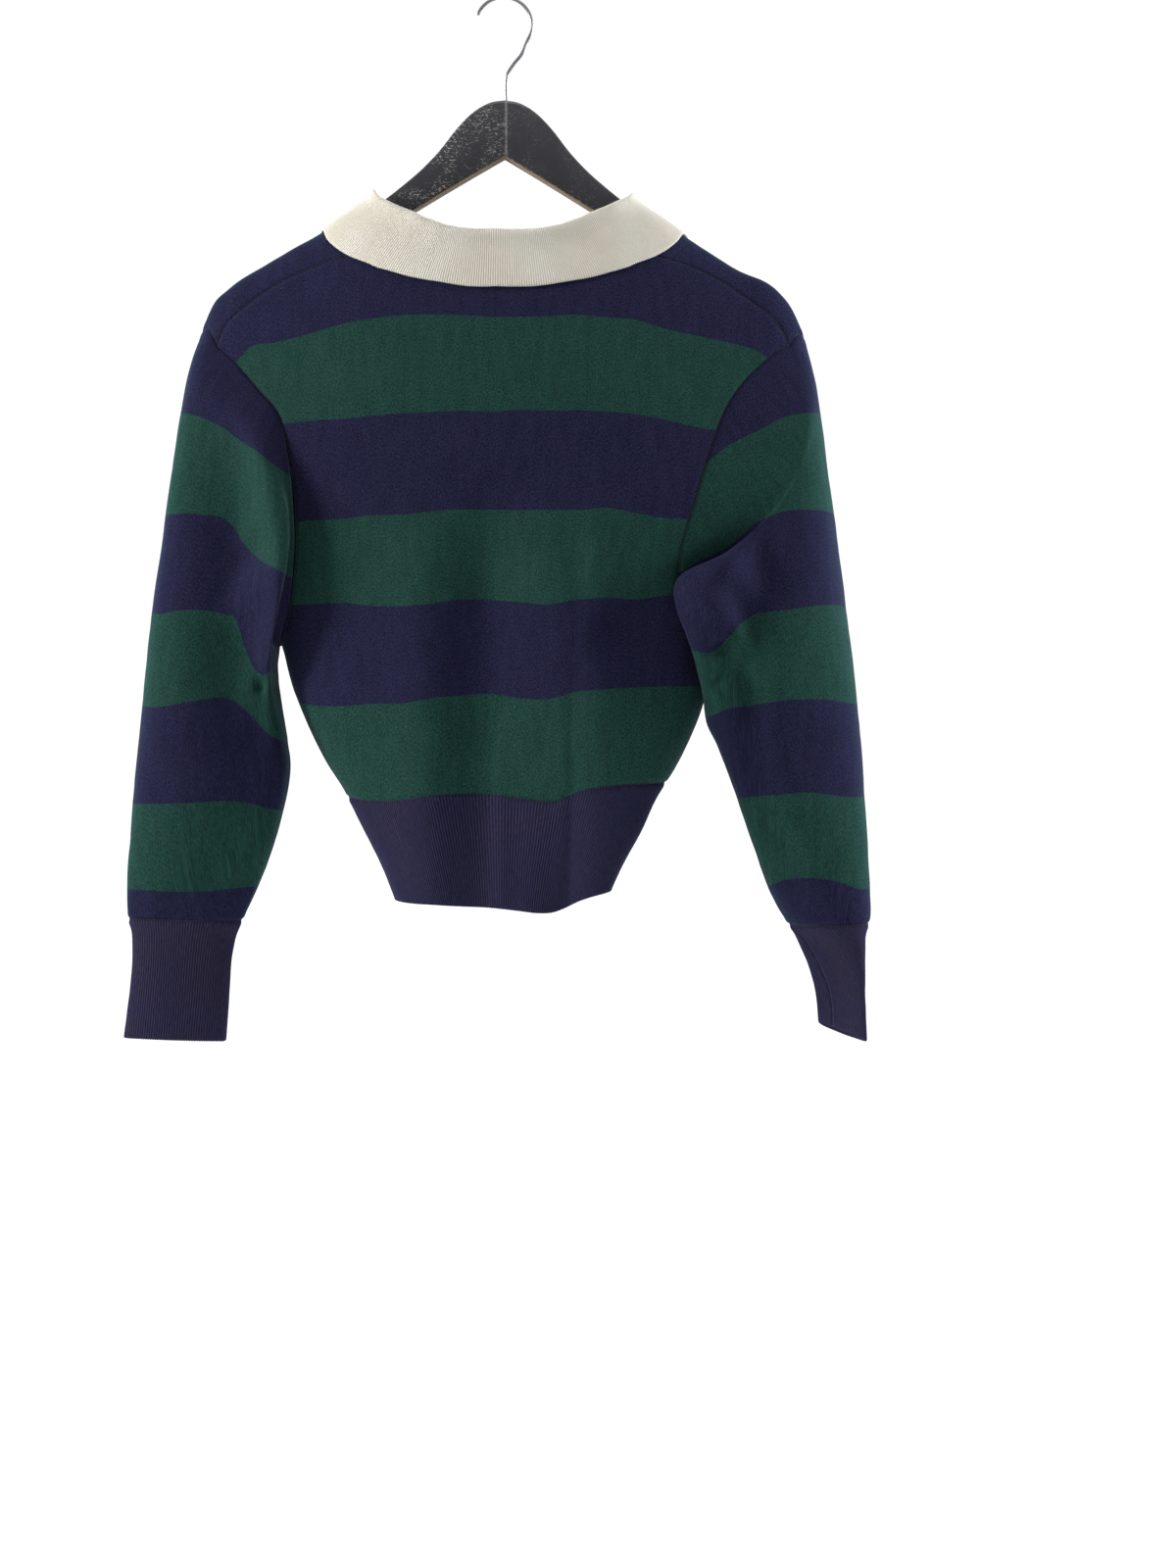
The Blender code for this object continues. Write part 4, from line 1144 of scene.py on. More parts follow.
@dataclass(frozen=True)
class WornPaint(Finish):
    """Black paint on wood, scratched to grey and worn to brown on its edges."""

    paint: Colour = (0.020, 0.021, 0.026)
    dust: Colour = (0.026, 0.026, 0.031)
    scratch: Colour = (0.30, 0.29, 0.27)
    wood: Colour = (0.30, 0.21, 0.14)
    middle: float = 0.002
    slant: float = -0.65
    relief_strength: float = 0.5
    relief_depth: float = 0.0003

    def make(self) -> bpy.types.Material:
        """Builds the material.

        Returns:
            The worn paint.
        """
        material, w, shader = self.start()
        place = w.node("ShaderNodeTexCoord").outputs["Object"]
        split = w.node("ShaderNodeSeparateXYZ", place)
        wear = w.node("ShaderNodeAttribute", attribute_name="wear").outputs["Fac"]
        patches = w.grain(place, 34.0, 3.0, 0.6)
        leaning = w.node("ShaderNodeMapping", place)
        leaning.inputs["Rotation"].default_value = (0.0, self.slant, 0.0)
        leaning.inputs["Scale"].default_value = (0.55, 1.0, 1.3)
        chips = w.grain(leaning.outputs[0], 760.0, 3.0, 0.7)
        side = w.ramp(split.outputs[0], -0.02, 0.012, 1.0, 0.22)
        where = w.math("MULTIPLY", w.ramp(patches, 0.40, 0.56, 0.0, 1.0), side)
        chipped = w.math("MULTIPLY", w.ramp(chips, 0.57, 0.62, 0.0, 1.0), where)
        joint = w.math("ABSOLUTE", w.math("SUBTRACT", split.outputs[0], self.middle))
        joint = w.ramp(joint, 0.0004, 0.0014, 0.55, 0.0)
        joint = w.math("MULTIPLY", joint, w.ramp(chips, 0.35, 0.6, 0.2, 1.0))
        grey = w.math("MAXIMUM", chipped, joint)
        edge = w.math("MULTIPLY_ADD", chips, 0.9, wear)
        bare = w.ramp(edge, 1.0, 1.25, 0.0, 1.0)
        dusty = w.mix(w.spread(patches, 0.0, 1.0), self.paint, self.dust)
        colour = w.mix(grey, dusty, self.scratch)
        colour = w.mix(bare, colour, self.wood)
        w.put(shader.inputs["Base Color"], colour)
        rough = w.math("MAXIMUM", grey, bare)
        w.put(shader.inputs["Roughness"], w.ramp(rough, 0.0, 1.0, self.roughness, 0.75))
        relief = w.math("SUBTRACT", w.math("MULTIPLY", chips, 0.3), rough)
        w.relief(shader, relief, self.relief_strength, self.relief_depth)
        return material


@dataclass(frozen=True)
class PlatedWire(Finish):
    """Bright wire with fine lengthwise marks."""

    colour: Colour = (0.30, 0.285, 0.30)
    marked: Colour = (0.22, 0.21, 0.22)
    marks_roughness: float = 0.12

    def make(self) -> bpy.types.Material:
        """Builds the material.

        Returns:
            The plating.
        """
        material, w, shader = self.start()
        place = w.node("ShaderNodeTexCoord").outputs["Object"]
        marks = w.grain(place, 900.0, 2.0, 0.6)
        colour = w.mix(w.spread(marks, 0.0, 1.0), self.colour, self.marked)
        rough = w.spread(marks, self.roughness, self.roughness + self.marks_roughness)
        w.put(shader.inputs["Base Color"], colour)
        w.put(shader.inputs["Roughness"], rough)
        return material


@dataclass(frozen=True)
class Thread(Finish):
    """Sewing yarn of the seams."""

    colour: Colour = (0.012, 0.012, 0.030)

    def make(self) -> bpy.types.Material:
        """Builds the material."""
        material, w, shader = self.start()
        place = w.node("ShaderNodeTexCoord").outputs["Object"]
        twist = w.grain(place, 2200.0, 2.0, 0.6)
        w.put(shader.inputs["Base Color"], w.shaded(w.spread(twist, 0.7, 1.3), self.colour))
        return material


# --- Pieces that repeat: ribs and stitches -----------------------------------------------------
class Repeater:
    """A geometry node tree with named inputs, run once on an object."""

    def __init__(self, name: str, inputs: dict[str, float]) -> None:
        """Starts the tree with its geometry and number inputs.

        Args:
            name: the tree's name.
            inputs: its number inputs with their values.
        """
        self.tree = bpy.data.node_groups.new(name, "GeometryNodeTree")
        self.wiring = Wiring(self.tree)
        self.values = inputs
        face = self.tree.interface
        face.new_socket("Geometry", in_out="INPUT", socket_type="NodeSocketGeometry")
        for title in inputs:
            face.new_socket(title, in_out="INPUT", socket_type="NodeSocketFloat")
        face.new_socket("Geometry", in_out="OUTPUT", socket_type="NodeSocketGeometry")
        self.inputs = self.tree.nodes.new("NodeGroupInput").outputs

    def finish(self, geometry: Socket, material: bpy.types.Material) -> None:
        """Ends the tree in Realize Instances and Set Material."""
        real = self.wiring.node("GeometryNodeRealizeInstances", geometry)
        painted = self.wiring.node("GeometryNodeSetMaterial", real.outputs[0])
        painted.inputs["Material"].default_value = material
        end = self.tree.nodes.new("NodeGroupOutput")
        self.tree.links.new(painted.outputs[0], end.inputs[0])

    def run(self, obj: Object) -> Object:
        """Replaces an object's mesh with what the tree makes of it.

        Args:
            obj: a mesh object with no modifiers.

        Returns:
            The same object with a plain mesh.
        """
        modifier = obj.modifiers.new(self.tree.name, "NODES")
        modifier.node_group = self.tree
        for item in self.tree.interface.items_tree:
            if item.item_type == "SOCKET" and item.in_out == "INPUT" and item.name in self.values:
                modifier[item.identifier] = self.values[item.name]
        graph = bpy.context.evaluated_depsgraph_get()
        made = bpy.data.meshes.new_from_object(obj.evaluated_get(graph), depsgraph=graph)
        obj.modifiers.clear()
        old = obj.data
        obj.data = made
        made.name = obj.name
        bpy.data.meshes.remove(old)
        return obj


def rib_tree(material: bpy.types.Material, depth: float) -> Repeater:
    """A tree that raises ribs on cloth along its own wales.

    Args:
        material: the cloth's finish.
        depth: height of a rib over the valley beside it.

    Returns:
        The tree.
    """
    tree = Repeater("ribs", {"Pitch": RIB_PITCH, "Depth": depth})
    w = tree.wiring
    named = w.node("GeometryNodeInputNamedAttribute", data_type="FLOAT")
    named.inputs["Name"].default_value = "rib"
    turn = w.math("MULTIPLY", w.math("DIVIDE", named.outputs[0], tree.inputs["Pitch"]), 2 * math.pi)
    height = w.math("MULTIPLY", w.math("COSINE", turn), w.math("MULTIPLY", tree.inputs["Depth"], 0.5))
    normal = w.node("GeometryNodeInputNormal").outputs[0]
    move = w.node("ShaderNodeVectorMath", normal, operation="SCALE")
    w.put(move.inputs["Scale"], height)
    moved = w.node("GeometryNodeSetPosition")
    w.put(moved.inputs["Geometry"], tree.inputs["Geometry"])
    w.put(moved.inputs["Offset"], move.outputs[0])
    tree.finish(moved.outputs[0], material)
    return tree


def stitch_tree(material: bpy.types.Material, pitch: float, length: float, yarn: float) -> Repeater:
    """A tree that sets linking stitches along seams.

    Args:
        material: the yarn's finish.
        pitch: from one stitch to the next.
        length: a stitch's length.
        yarn: the yarn's thickness.

    Returns:
        The tree, for a mesh of seam lines with an attribute "out".
    """
    tree = Repeater("stitches", {"Pitch": pitch, "Length": length, "Yarn": yarn})
    w = tree.wiring
    lines = w.node("GeometryNodeMeshToCurve", tree.inputs["Geometry"])
    even_lines = w.node("GeometryNodeResampleCurve", lines.outputs[0], mode="LENGTH")
    w.put(even_lines.inputs["Length"], tree.inputs["Pitch"])
    loop = w.node("GeometryNodeMeshIcoSphere")
    loop.inputs["Radius"].default_value = 0.5
    loop.inputs["Subdivisions"].default_value = 1
    tangent = w.node("GeometryNodeInputTangent").outputs[0]
    out = w.node("GeometryNodeInputNamedAttribute", data_type="FLOAT_VECTOR")
    out.inputs["Name"].default_value = "out"
    align = "FunctionNodeAlignRotationToVector"
    along = w.node(align, None, None, tangent, axis="X").outputs[0]
    facing = w.node(align, along, None, out.outputs[0], axis="Z", pivot_axis="X")
    thick = tree.inputs["Yarn"]
    size = w.node("ShaderNodeCombineXYZ", tree.inputs["Length"], thick, thick)
    slanted = []
    for slant, shift in ((0.55, 0.64), (-0.55, -0.64)):
        turned = w.node("FunctionNodeRotateRotation", facing.outputs[0], (0.0, 0.0, slant))
        turned.rotation_space = "LOCAL"
        placed = w.node("GeometryNodeInstanceOnPoints", even_lines.outputs[0], None, loop.outputs[0])
        w.put(placed.inputs["Rotation"], turned.outputs[0])
        w.put(placed.inputs["Scale"], size.outputs[0])
        beside = w.node("ShaderNodeCombineXYZ", 0.0, w.math("MULTIPLY", thick, shift), 0.0)
        moved = w.node("GeometryNodeTranslateInstances", placed.outputs[0])
        w.put(moved.inputs["Translation"], beside.outputs[0])
        moved.inputs["Local Space"].default_value = True
        slanted.append(moved.outputs[0])
    both = w.node("GeometryNodeJoinGeometry")
    for socket in slanted:
        w.tree.links.new(socket, both.inputs[0])
    tree.finish(both.outputs[0], material)
    return tree


# --- The garment's pieces ----------------------------------------------------------------------
def coons(
    top: Array, bottom: Array, left: Array, right: Array, fade: float = 1, sag: float = 0.0
) -> Array:
    """Fills a grid of places between four edges.

    Args:
        top: the top edge, running right.
        bottom: the bottom edge, running right.
        left: the left edge, running down.
        right: the right edge, running down.
        fade: power by which the top's and bottom's shapes fade between them.
        sag: how far the rows dip between the sides, in places down.

    Returns:
        Rows of places.
    """
    u = np.linspace(0, 1, len(top))[None, :, None]
    v = np.linspace(0, 1, len(left))[:, None, None]
    between_sides = (1 - u) * left[:, None] + u * right[:, None]
    top_shape = top - ((1 - u) * top[0] + u * top[-1])
    bottom_shape = bottom - ((1 - u) * bottom[0] + u * bottom[-1])
    grid = between_sides + (1 - v) ** fade * top_shape + v**fade * bottom_shape
    dip = 4 * u * (1 - u) * v**2 * (1 - v) * 6.75
    return grid + dip * [0.0, sag]


def rib_knit(down: Array, ribs: int) -> Array:
    """Knit coordinates of a rib piece.

    Args:
        down: how far down each row lies.
        ribs: number of ribs.

    Returns:
        Distance across and down at each point, a rib's pitch from rib to rib.
    """
    across = np.arange(ribs * RIB_POINTS + 1) * RIB_PITCH / RIB_POINTS
    return np.stack(np.meshgrid(across, -down), axis=-1)


@dataclass
class Garment:
    """What all the garment's pieces share."""

    body: Body
    seams: Seams
    stripes: Stripes
    cloth: Cloth

    def lay(self, places: Array, piece: str, flip: bool, start: int) -> Patch:
        """Lays a grid of places on the body.

        Args:
            places: rows of places.
            piece: the stripes' table.
            flip: whether the grid's own faces point inwards.
            start: column from which the courses are measured, 0, -1 or the middle one.

        Returns:
            The patch.
        """
        places = fringed(fringed(places, 0), 1)
        points = self.body.point(places)
        wale = distances(points[..., :2], 1)
        column = points.shape[1] // 2 if start > 0 else start
        wale += (points[:, column, 0] - wale[:, column])[:, None]
        stripe = self.stripes.at(points, piece)
        knit = np.stack([wale, -stripe * self.stripes.width], axis=-1)
        return Patch(points, knit, stripe, flip)


@dataclass
class Panels(Garment):
    """The back and front panels."""

    fade: float = 3
    sag: float = 0.12

    def back(self) -> Object:
        """The back panel, between the shoulder seams, armholes and hem band.

        Returns:
            The piece.
        """
        s, quarter = self.seams, math.pi / 2
        top = joined(
            s.shoulder_seam(Side.LEFT)[::-1], s.back_neck()[:, :2], s.shoulder_seam(Side.RIGHT)
        )
        across = np.linspace(-quarter, quarter, len(top))
        sides = [joined(s.armhole_back(side), s.side_seam(side, Face.BACK)) for side in Side]
        places = coons(top, s.hem_level(across, Face.BACK, 0), *sides, self.fade, -self.sag)
        return self.cloth.sew("back_panel", [self.lay(places, "back", False, 1)])

    def front(self) -> Object:
        """The front panel, whose shoulders wrap over to the seams on the back.

        Returns:
            The piece.
        """
        s, patches = self.seams, []
        for side in Side:
            seam, ridge = s.shoulder_seam(side), s.ridge_line(side)
            neck, arm = s.yoke_neck(side)[:, :2], s.armhole_over(side)[::-1]
            outer = joined(s.armhole_front(side), s.side_seam(side, Face.FRONT))
            middle = joined(s.v_neck(side)[:, :2], s.front_middle())
            hem = s.hem_level(np.linspace(0, side * math.pi / 2, len(ridge)), Face.FRONT, 0)
            if side == Side.LEFT:
                yoke = coons(seam[::-1], ridge[::-1], arm, neck)
                half = coons(ridge[::-1], hem[::-1], outer, middle, self.fade, self.sag)
                start = -1
            else:
                yoke = coons(seam, ridge, neck, arm)
                half = coons(ridge, hem, middle, outer, self.fade, self.sag)
                start = 0
            patches += [self.lay(yoke, "front", True, start), self.lay(half, "front", True, start)]
        return self.cloth.sew("front_panel", patches)


@dataclass
class HemBand(Garment):
    """The rib band round the hips."""

    ribs: int = 150
    rows: int = 26
    depth: float = 0.085

    def build(self) -> Object:
        """The band as one tube.

        Returns:
            The band, before its ribs are raised.
        """
        quarter = math.pi / 2
        shares = fringed(np.linspace(0, 1, self.rows), 0, last=False)
        across = np.linspace(-quarter, quarter, self.ribs * RIB_POINTS + 1)
        knit = rib_knit(shares * self.depth, self.ribs)
        stripe = np.full(knit.shape[:2], PLAIN)
        patches = []
        for face in Face:
            levels = np.stack([self.seams.hem_level(across, face, share) for share in shares])
            points = self.body.point(levels)
            patches.append(Patch(points, knit, stripe, face == Face.FRONT, True, (0, -1)))
        return self.cloth.sew("hem_band_rib", patches)


# Line of the long hollow down each sleeve.
VALLEYS = {
    Side.LEFT: table(
        "z x",
        (-0.7, -0.205),
        (-0.577, -0.185),
        (-0.504, -0.1935),
        (-0.435, -0.1942),
        (-0.363, -0.2015),
        (-0.29, -0.2089),
        (-0.26, -0.213),
    ),
    Side.RIGHT: table(
        "z x",
        (-0.7, 0.215),
        (-0.577, 0.185),
        (-0.504, 0.1784),
        (-0.435, 0.195),
        (-0.363, 0.195),
        (-0.29, 0.1967),
        (-0.26, 0.2),
    ),
}

# Short creases pressed into each sleeve.
CREASES = {
    Side.LEFT: table(
        "x0 z0 x1 z1 width depth",
        (-0.182, -0.531, -0.17, -0.518, 0.005, 0.0028),
        (-0.182, -0.531, -0.187, -0.508, 0.006, 0.0024),
        (-0.182, -0.53, -0.18, -0.542, 0.005, 0.0018),
        (-0.25, -0.69, -0.215, -0.678, 0.008, 0.0015),
        (-0.2, -0.65, -0.22, -0.672, 0.007, 0.0018),
    ),
    Side.RIGHT: table(
        "x0 z0 x1 z1 width depth",
        (0.156, -0.508, 0.17, -0.493, 0.004, 0.0035),
        (0.16, -0.53, 0.166, -0.502, 0.005, 0.004),
        (0.22, -0.675, 0.25, -0.662, 0.008, 0.0016),
        (0.202, -0.635, 0.22, -0.655, 0.007, 0.0018),
    ),
}

# Sections of the sleeves, from the top down.
SLEEVES = {
    Side.LEFT: table(
        "out_x out_z in_x in_z bow_back bow_front back front roll valley in_y",
        (-0.2402, -0.286, -0.1745, -0.4985, 0.047, 0.034, 0.059, 0.053, 0.006, 0.004, 0.0),
        (-0.247, -0.322, -0.1745, -0.505, 0.053, 0.032, 0.062, 0.057, 0.012, 0.012, 0.002),
        (-0.2545, -0.371, -0.1752, -0.516, 0.057, 0.028, 0.062, 0.058, 0.015, 0.019, 0.004),
        (-0.2628, -0.4275, -0.1736, -0.531, 0.056, 0.02, 0.06, 0.057, 0.016, 0.021, 0.006),
        (-0.2704, -0.484, -0.1703, -0.548, 0.032, 0.01, 0.057, 0.054, 0.012, 0.02, 0.008),
        (-0.277, -0.544, -0.1662, -0.572, 0.004, 0.002, 0.052, 0.05, 0.003, 0.016, 0.008),
        (-0.2822, -0.597, -0.1648, -0.599, 0.0, 0.0, 0.048, 0.047, 0.003, 0.009, 0.006),
        (-0.2864, -0.6425, -0.1748, -0.643, 0.0, 0.0, 0.041, 0.041, 0.003, 0.005, 0.003),
        (-0.2895, -0.685, -0.1905, -0.687, 0.0, 0.0, 0.029, 0.029, 0.002, 0.002, 0.0),
        (-0.2886, -0.7085, -0.2018, -0.71, 0.0, 0.0, 0.019, 0.02, 0.0, 0.0, 0.0),
    ),
    Side.RIGHT: table(
        "out_x out_z in_x in_z bow_back bow_front back front roll valley skew in_y",
        (0.2388, -0.292, 0.1695, -0.4985, 0.015, 0.032, 0.052, 0.052, 0.0, 0.002, 0.0, 0.006),
        (0.2452, -0.333, 0.164, -0.505, 0.04, 0.03, 0.058, 0.056, 0.004, 0.004, 0.0, 0.018),
        (0.2542, -0.401, 0.1572, -0.517, 0.068, 0.025, 0.064, 0.057, 0.012, 0.007, 0.0, 0.026),
        (0.2618, -0.46, 0.1538, -0.537, 0.06, 0.016, 0.066, 0.056, 0.012, 0.009, 0.0, 0.03),
        (0.268, -0.507, 0.1542, -0.556, 0.026, 0.006, 0.061, 0.054, 0.008, 0.01, 0.0, 0.033),
        (0.2742, -0.563, 0.1642, -0.579, 0.0, 0.0, 0.052, 0.05, 0.003, 0.009, 0.0, 0.033),
        (0.2779, -0.616, 0.1792, -0.618, 0.0, 0.0, 0.049, 0.047, 0.002, 0.008, 0.0, 0.024),
        (0.2798, -0.6575, 0.1932, -0.659, 0.0, 0.0, 0.045, 0.043, 0.002, 0.006, 0.05, 0.016),
        (0.281, -0.688, 0.2055, -0.69, 0.0, 0.0, 0.038, 0.036, 0.0, 0.003, 0.12, 0.008),
        (0.2792, -0.7115, 0.2212, -0.7135, 0.0, 0.0, 0.033, 0.031, 0.0, 0.0, 0.2, 0.0),
    ),
}

# Sections of the cuffs, from the top down.
CUFFS = {
    Side.LEFT: table(
        "out_x out_z in_x in_z back front valley",
        (-0.2862, -0.718, -0.2062, -0.7195, 0.0165, 0.0175, 0.0),
        (-0.2855, -0.7325, -0.2092, -0.733, 0.0155, 0.0165, 0.001),
        (-0.2892, -0.774, -0.2122, -0.774, 0.0145, 0.015, 0.002),
        (-0.2922, -0.799, -0.2144, -0.8018, 0.014, 0.0145, 0.001),
    ),
    Side.RIGHT: table(
        "out_x out_z in_x in_z back front skew sink",
        (0.2725, -0.7215, 0.231, -0.724, 0.032, 0.031, 0.4, 0.0),
        (0.268, -0.744, 0.2435, -0.745, 0.032, 0.031, 0.48, -0.02),
        (0.2665, -0.771, 0.2515, -0.768, 0.033, 0.032, 0.44, -0.05),
        (0.268, -0.7985, 0.253, -0.791, 0.033, 0.032, 0.42, -0.09),
    ),
}


@dataclass
class Arm(Garment):
    """A sleeve with its cuff."""

    side: Side = Side.LEFT
    sleeve_cells: int = 132
    cuff_cells: int = 24
    yoke_turn: float = 0.6
    lobe_turn: float = 2.25
    lobe_width: float = 0.65
    roll_at: float = 0.030
    roll_width: float = 0.020
    roundness: dict[Side, float] = kept({Side.LEFT: 0.7, Side.RIGHT: 0.88})
    valley_outer: dict[Side, float] = kept({Side.LEFT: 0.040, Side.RIGHT: 0.018})
    valley_inner: dict[Side, float] = kept({Side.LEFT: 0.016, Side.RIGHT: 0.013})
    valleys: dict[Side, Table] = kept(VALLEYS)
    creases: dict[Side, Table] = kept(CREASES)
    ribs: int = 96
    sleeve_rows: dict[Side, Table] = kept(SLEEVES)
    cuff_rows: dict[Side, Table] = kept(CUFFS)

    @property
    def word(self) -> str:
        """The side in a piece's name."""
        return self.side.name.lower()

    def turns(self) -> Array:
        """Angles round a section that go with the armhole's points.

        Returns:
            Angles from the outside round the back and the front.
        """
        c = self.seams.cells
        return joined(
            np.linspace(0, self.yoke_turn, c.yoke + 1),
            np.linspace(self.yoke_turn, math.pi, c.arm_back + 1),
            np.linspace(math.pi, 2 * math.pi, c.arm_front + 1),
        )

    def section(self, row: dict[str, float]) -> Array:
        """A closed section of the sleeve.

        Args:
            row: its named sizes.

        Returns:
            Its points, from the outside round the back and the front.
        """
        turns, roundness = self.turns(), self.roundness[self.side]
        across, facing = -np.cos(turns), np.sin(turns)
        share = (across + 1) / 2
        run_x, run_z = row["in_x"] - row["out_x"], row["in_z"] - row["out_z"]
        run = math.hypot(run_x, run_z)
        behind = np.maximum(facing, 0)
        lobe = np.abs(facing) ** 3
        if self.side == Side.RIGHT:
            back_lobe = bump(turns, self.lobe_turn, self.lobe_width) * behind**0.5
            lobe = np.where(facing > 0, back_lobe, lobe)
        bow = np.where(facing > 0, row["bow_back"], row["bow_front"]) * lobe
        out = np.where(facing > 0, row["back"], row["front"]) * np.abs(facing) ** roundness
        x = row["out_x"] + share * run_x - self.side * bow * abs(run_z) / run
        z = row["out_z"] + share * run_z + bow * abs(run_x) / run
        valley = self.valleys[self.side]
        away = self.side * (x - curve(valley["z"], valley["x"], z))
        width = np.where(away > 0, self.valley_outer[self.side], self.valley_inner[self.side])
        out -= row["valley"] * behind * bump(away, 0.0, width)
        out += row["roll"] * behind * bump(away, -self.roll_at, self.roll_width)
        y = -np.sign(facing) * out - row["in_y"] * share**2
        return np.stack([x - y * row["skew"], y, z - y * row["sink"]], axis=-1)

    def press(self, grid: Array) -> Array:
        """Presses the short creases into the sleeve's back.

        Args:
            grid: the sleeve's points.

        Returns:
            The points moved.
        """
        across, height = grid[..., 0], grid[..., 2]
        depth = np.zeros(across.shape)
        for x0, z0, x1, z1, width, deep in zip(*self.creases[self.side].values()):
            run_x, run_z = x1 - x0, z1 - z0
            share = ((across - x0) * run_x + (height - z0) * run_z) / (run_x**2 + run_z**2)
            near = np.clip(share, 0, 1)
            away = np.hypot(across - x0 - near * run_x, height - z0 - near * run_z)
            depth += deep * bump(away, 0.0, width)
        moved = grid.copy()
        moved[..., 1] += depth * (grid[..., 1] < grid[..., 1].mean(axis=1, keepdims=True))
        return moved

    def rings(self) -> Array:
        """The armhole and all the sections below it; a size that isn't listed is 0."""
        rows = records(self.sleeve_rows[self.side]) + records(self.cuff_rows[self.side])
        sections = [self.section(defaultdict(float, row)) for row in rows]
        return np.stack([self.body.point(self.seams.armhole_ring(self.side))] + sections)

    @property
    def cuff_ring(self) -> int:
        """Number of the ring at which the cuff starts."""
        return len(self.sleeve_rows[self.side]["out_x"])

    @property
    def inner_column(self) -> int:
        """The column along the sleeve's inner seam."""
        return self.seams.cells.yoke + self.seams.cells.arm_back

    def loft(self, first: int, last: int, cells: int, free: bool) -> Array:
        """Rows through the rings from one of them to another."""
        rings = self.rings()
        along = distances(rings[:, 0])
        stops = np.linspace(along[first], along[last], cells + 1)
        return curve(along, rings, fringed(stops, 0, last=not free))

    def sleeve(self) -> Object:
        """The sleeve from the armhole to the cuff.

        Returns:
            The piece.
        """
        grid = self.press(self.loft(0, self.cuff_ring, self.sleeve_cells, False))
        half = self.inner_column
        stripe = self.stripes.at(grid, "sleeve_" + self.word)
        patches = []
        for part in (slice(0, half + 1), slice(half, None)):
            points = grid[:, part]
            wale = distances(points, 1)
            if part.start:
                wale -= wale[:, -1:]
            knit = np.stack([wale, -distances(points)], axis=-1)
            patches.append(Patch(points, knit, stripe[:, part], self.side == Side.RIGHT))
        return self.cloth.sew(f"sleeve_{self.word}_knit", patches)

    def cuff(self) -> Object:
        """The rib cuff.

        Returns:
            The cuff, before its ribs are raised.
        """
        grid = self.loft(self.cuff_ring, -1, self.cuff_cells, True)
        cells = self.ribs * RIB_POINTS
        along = distances(grid, 1)
        points = np.stack(
            [curve(run, row, np.linspace(0, run[-1], cells + 1)) for run, row in zip(along, grid)]
        )
        knit = rib_knit(distances(points[:, 0]), self.ribs)
        stripe = np.full(points.shape[:2], PLAIN)
        seam = round(along[0, self.inner_column] / along[0, -1] * cells)
        patch = Patch(points, knit, stripe, self.side == Side.RIGHT, True, (seam,))
        return self.cloth.sew(f"cuff_{self.word}_rib", [patch])


# The collar's stand and its roll, across the strip.
STAND = table(
    "up out",
    (0.0, 0.0),
    (0.0048, 0.0003),
    (0.0095, 0.0024),
    (0.0124, 0.0056),
    (0.0126, 0.0086),
    (0.0086, 0.0098),
    (0.004, 0.0084),
)

# The collar's fall: share of its way out and height over the cloth.
FALL = table(
    "share over",
    (0.06, 0.0056),
    (0.28, 0.0045),
    (0.52, 0.0042),
    (0.77, 0.004),
    (1.0, 0.0036),
)


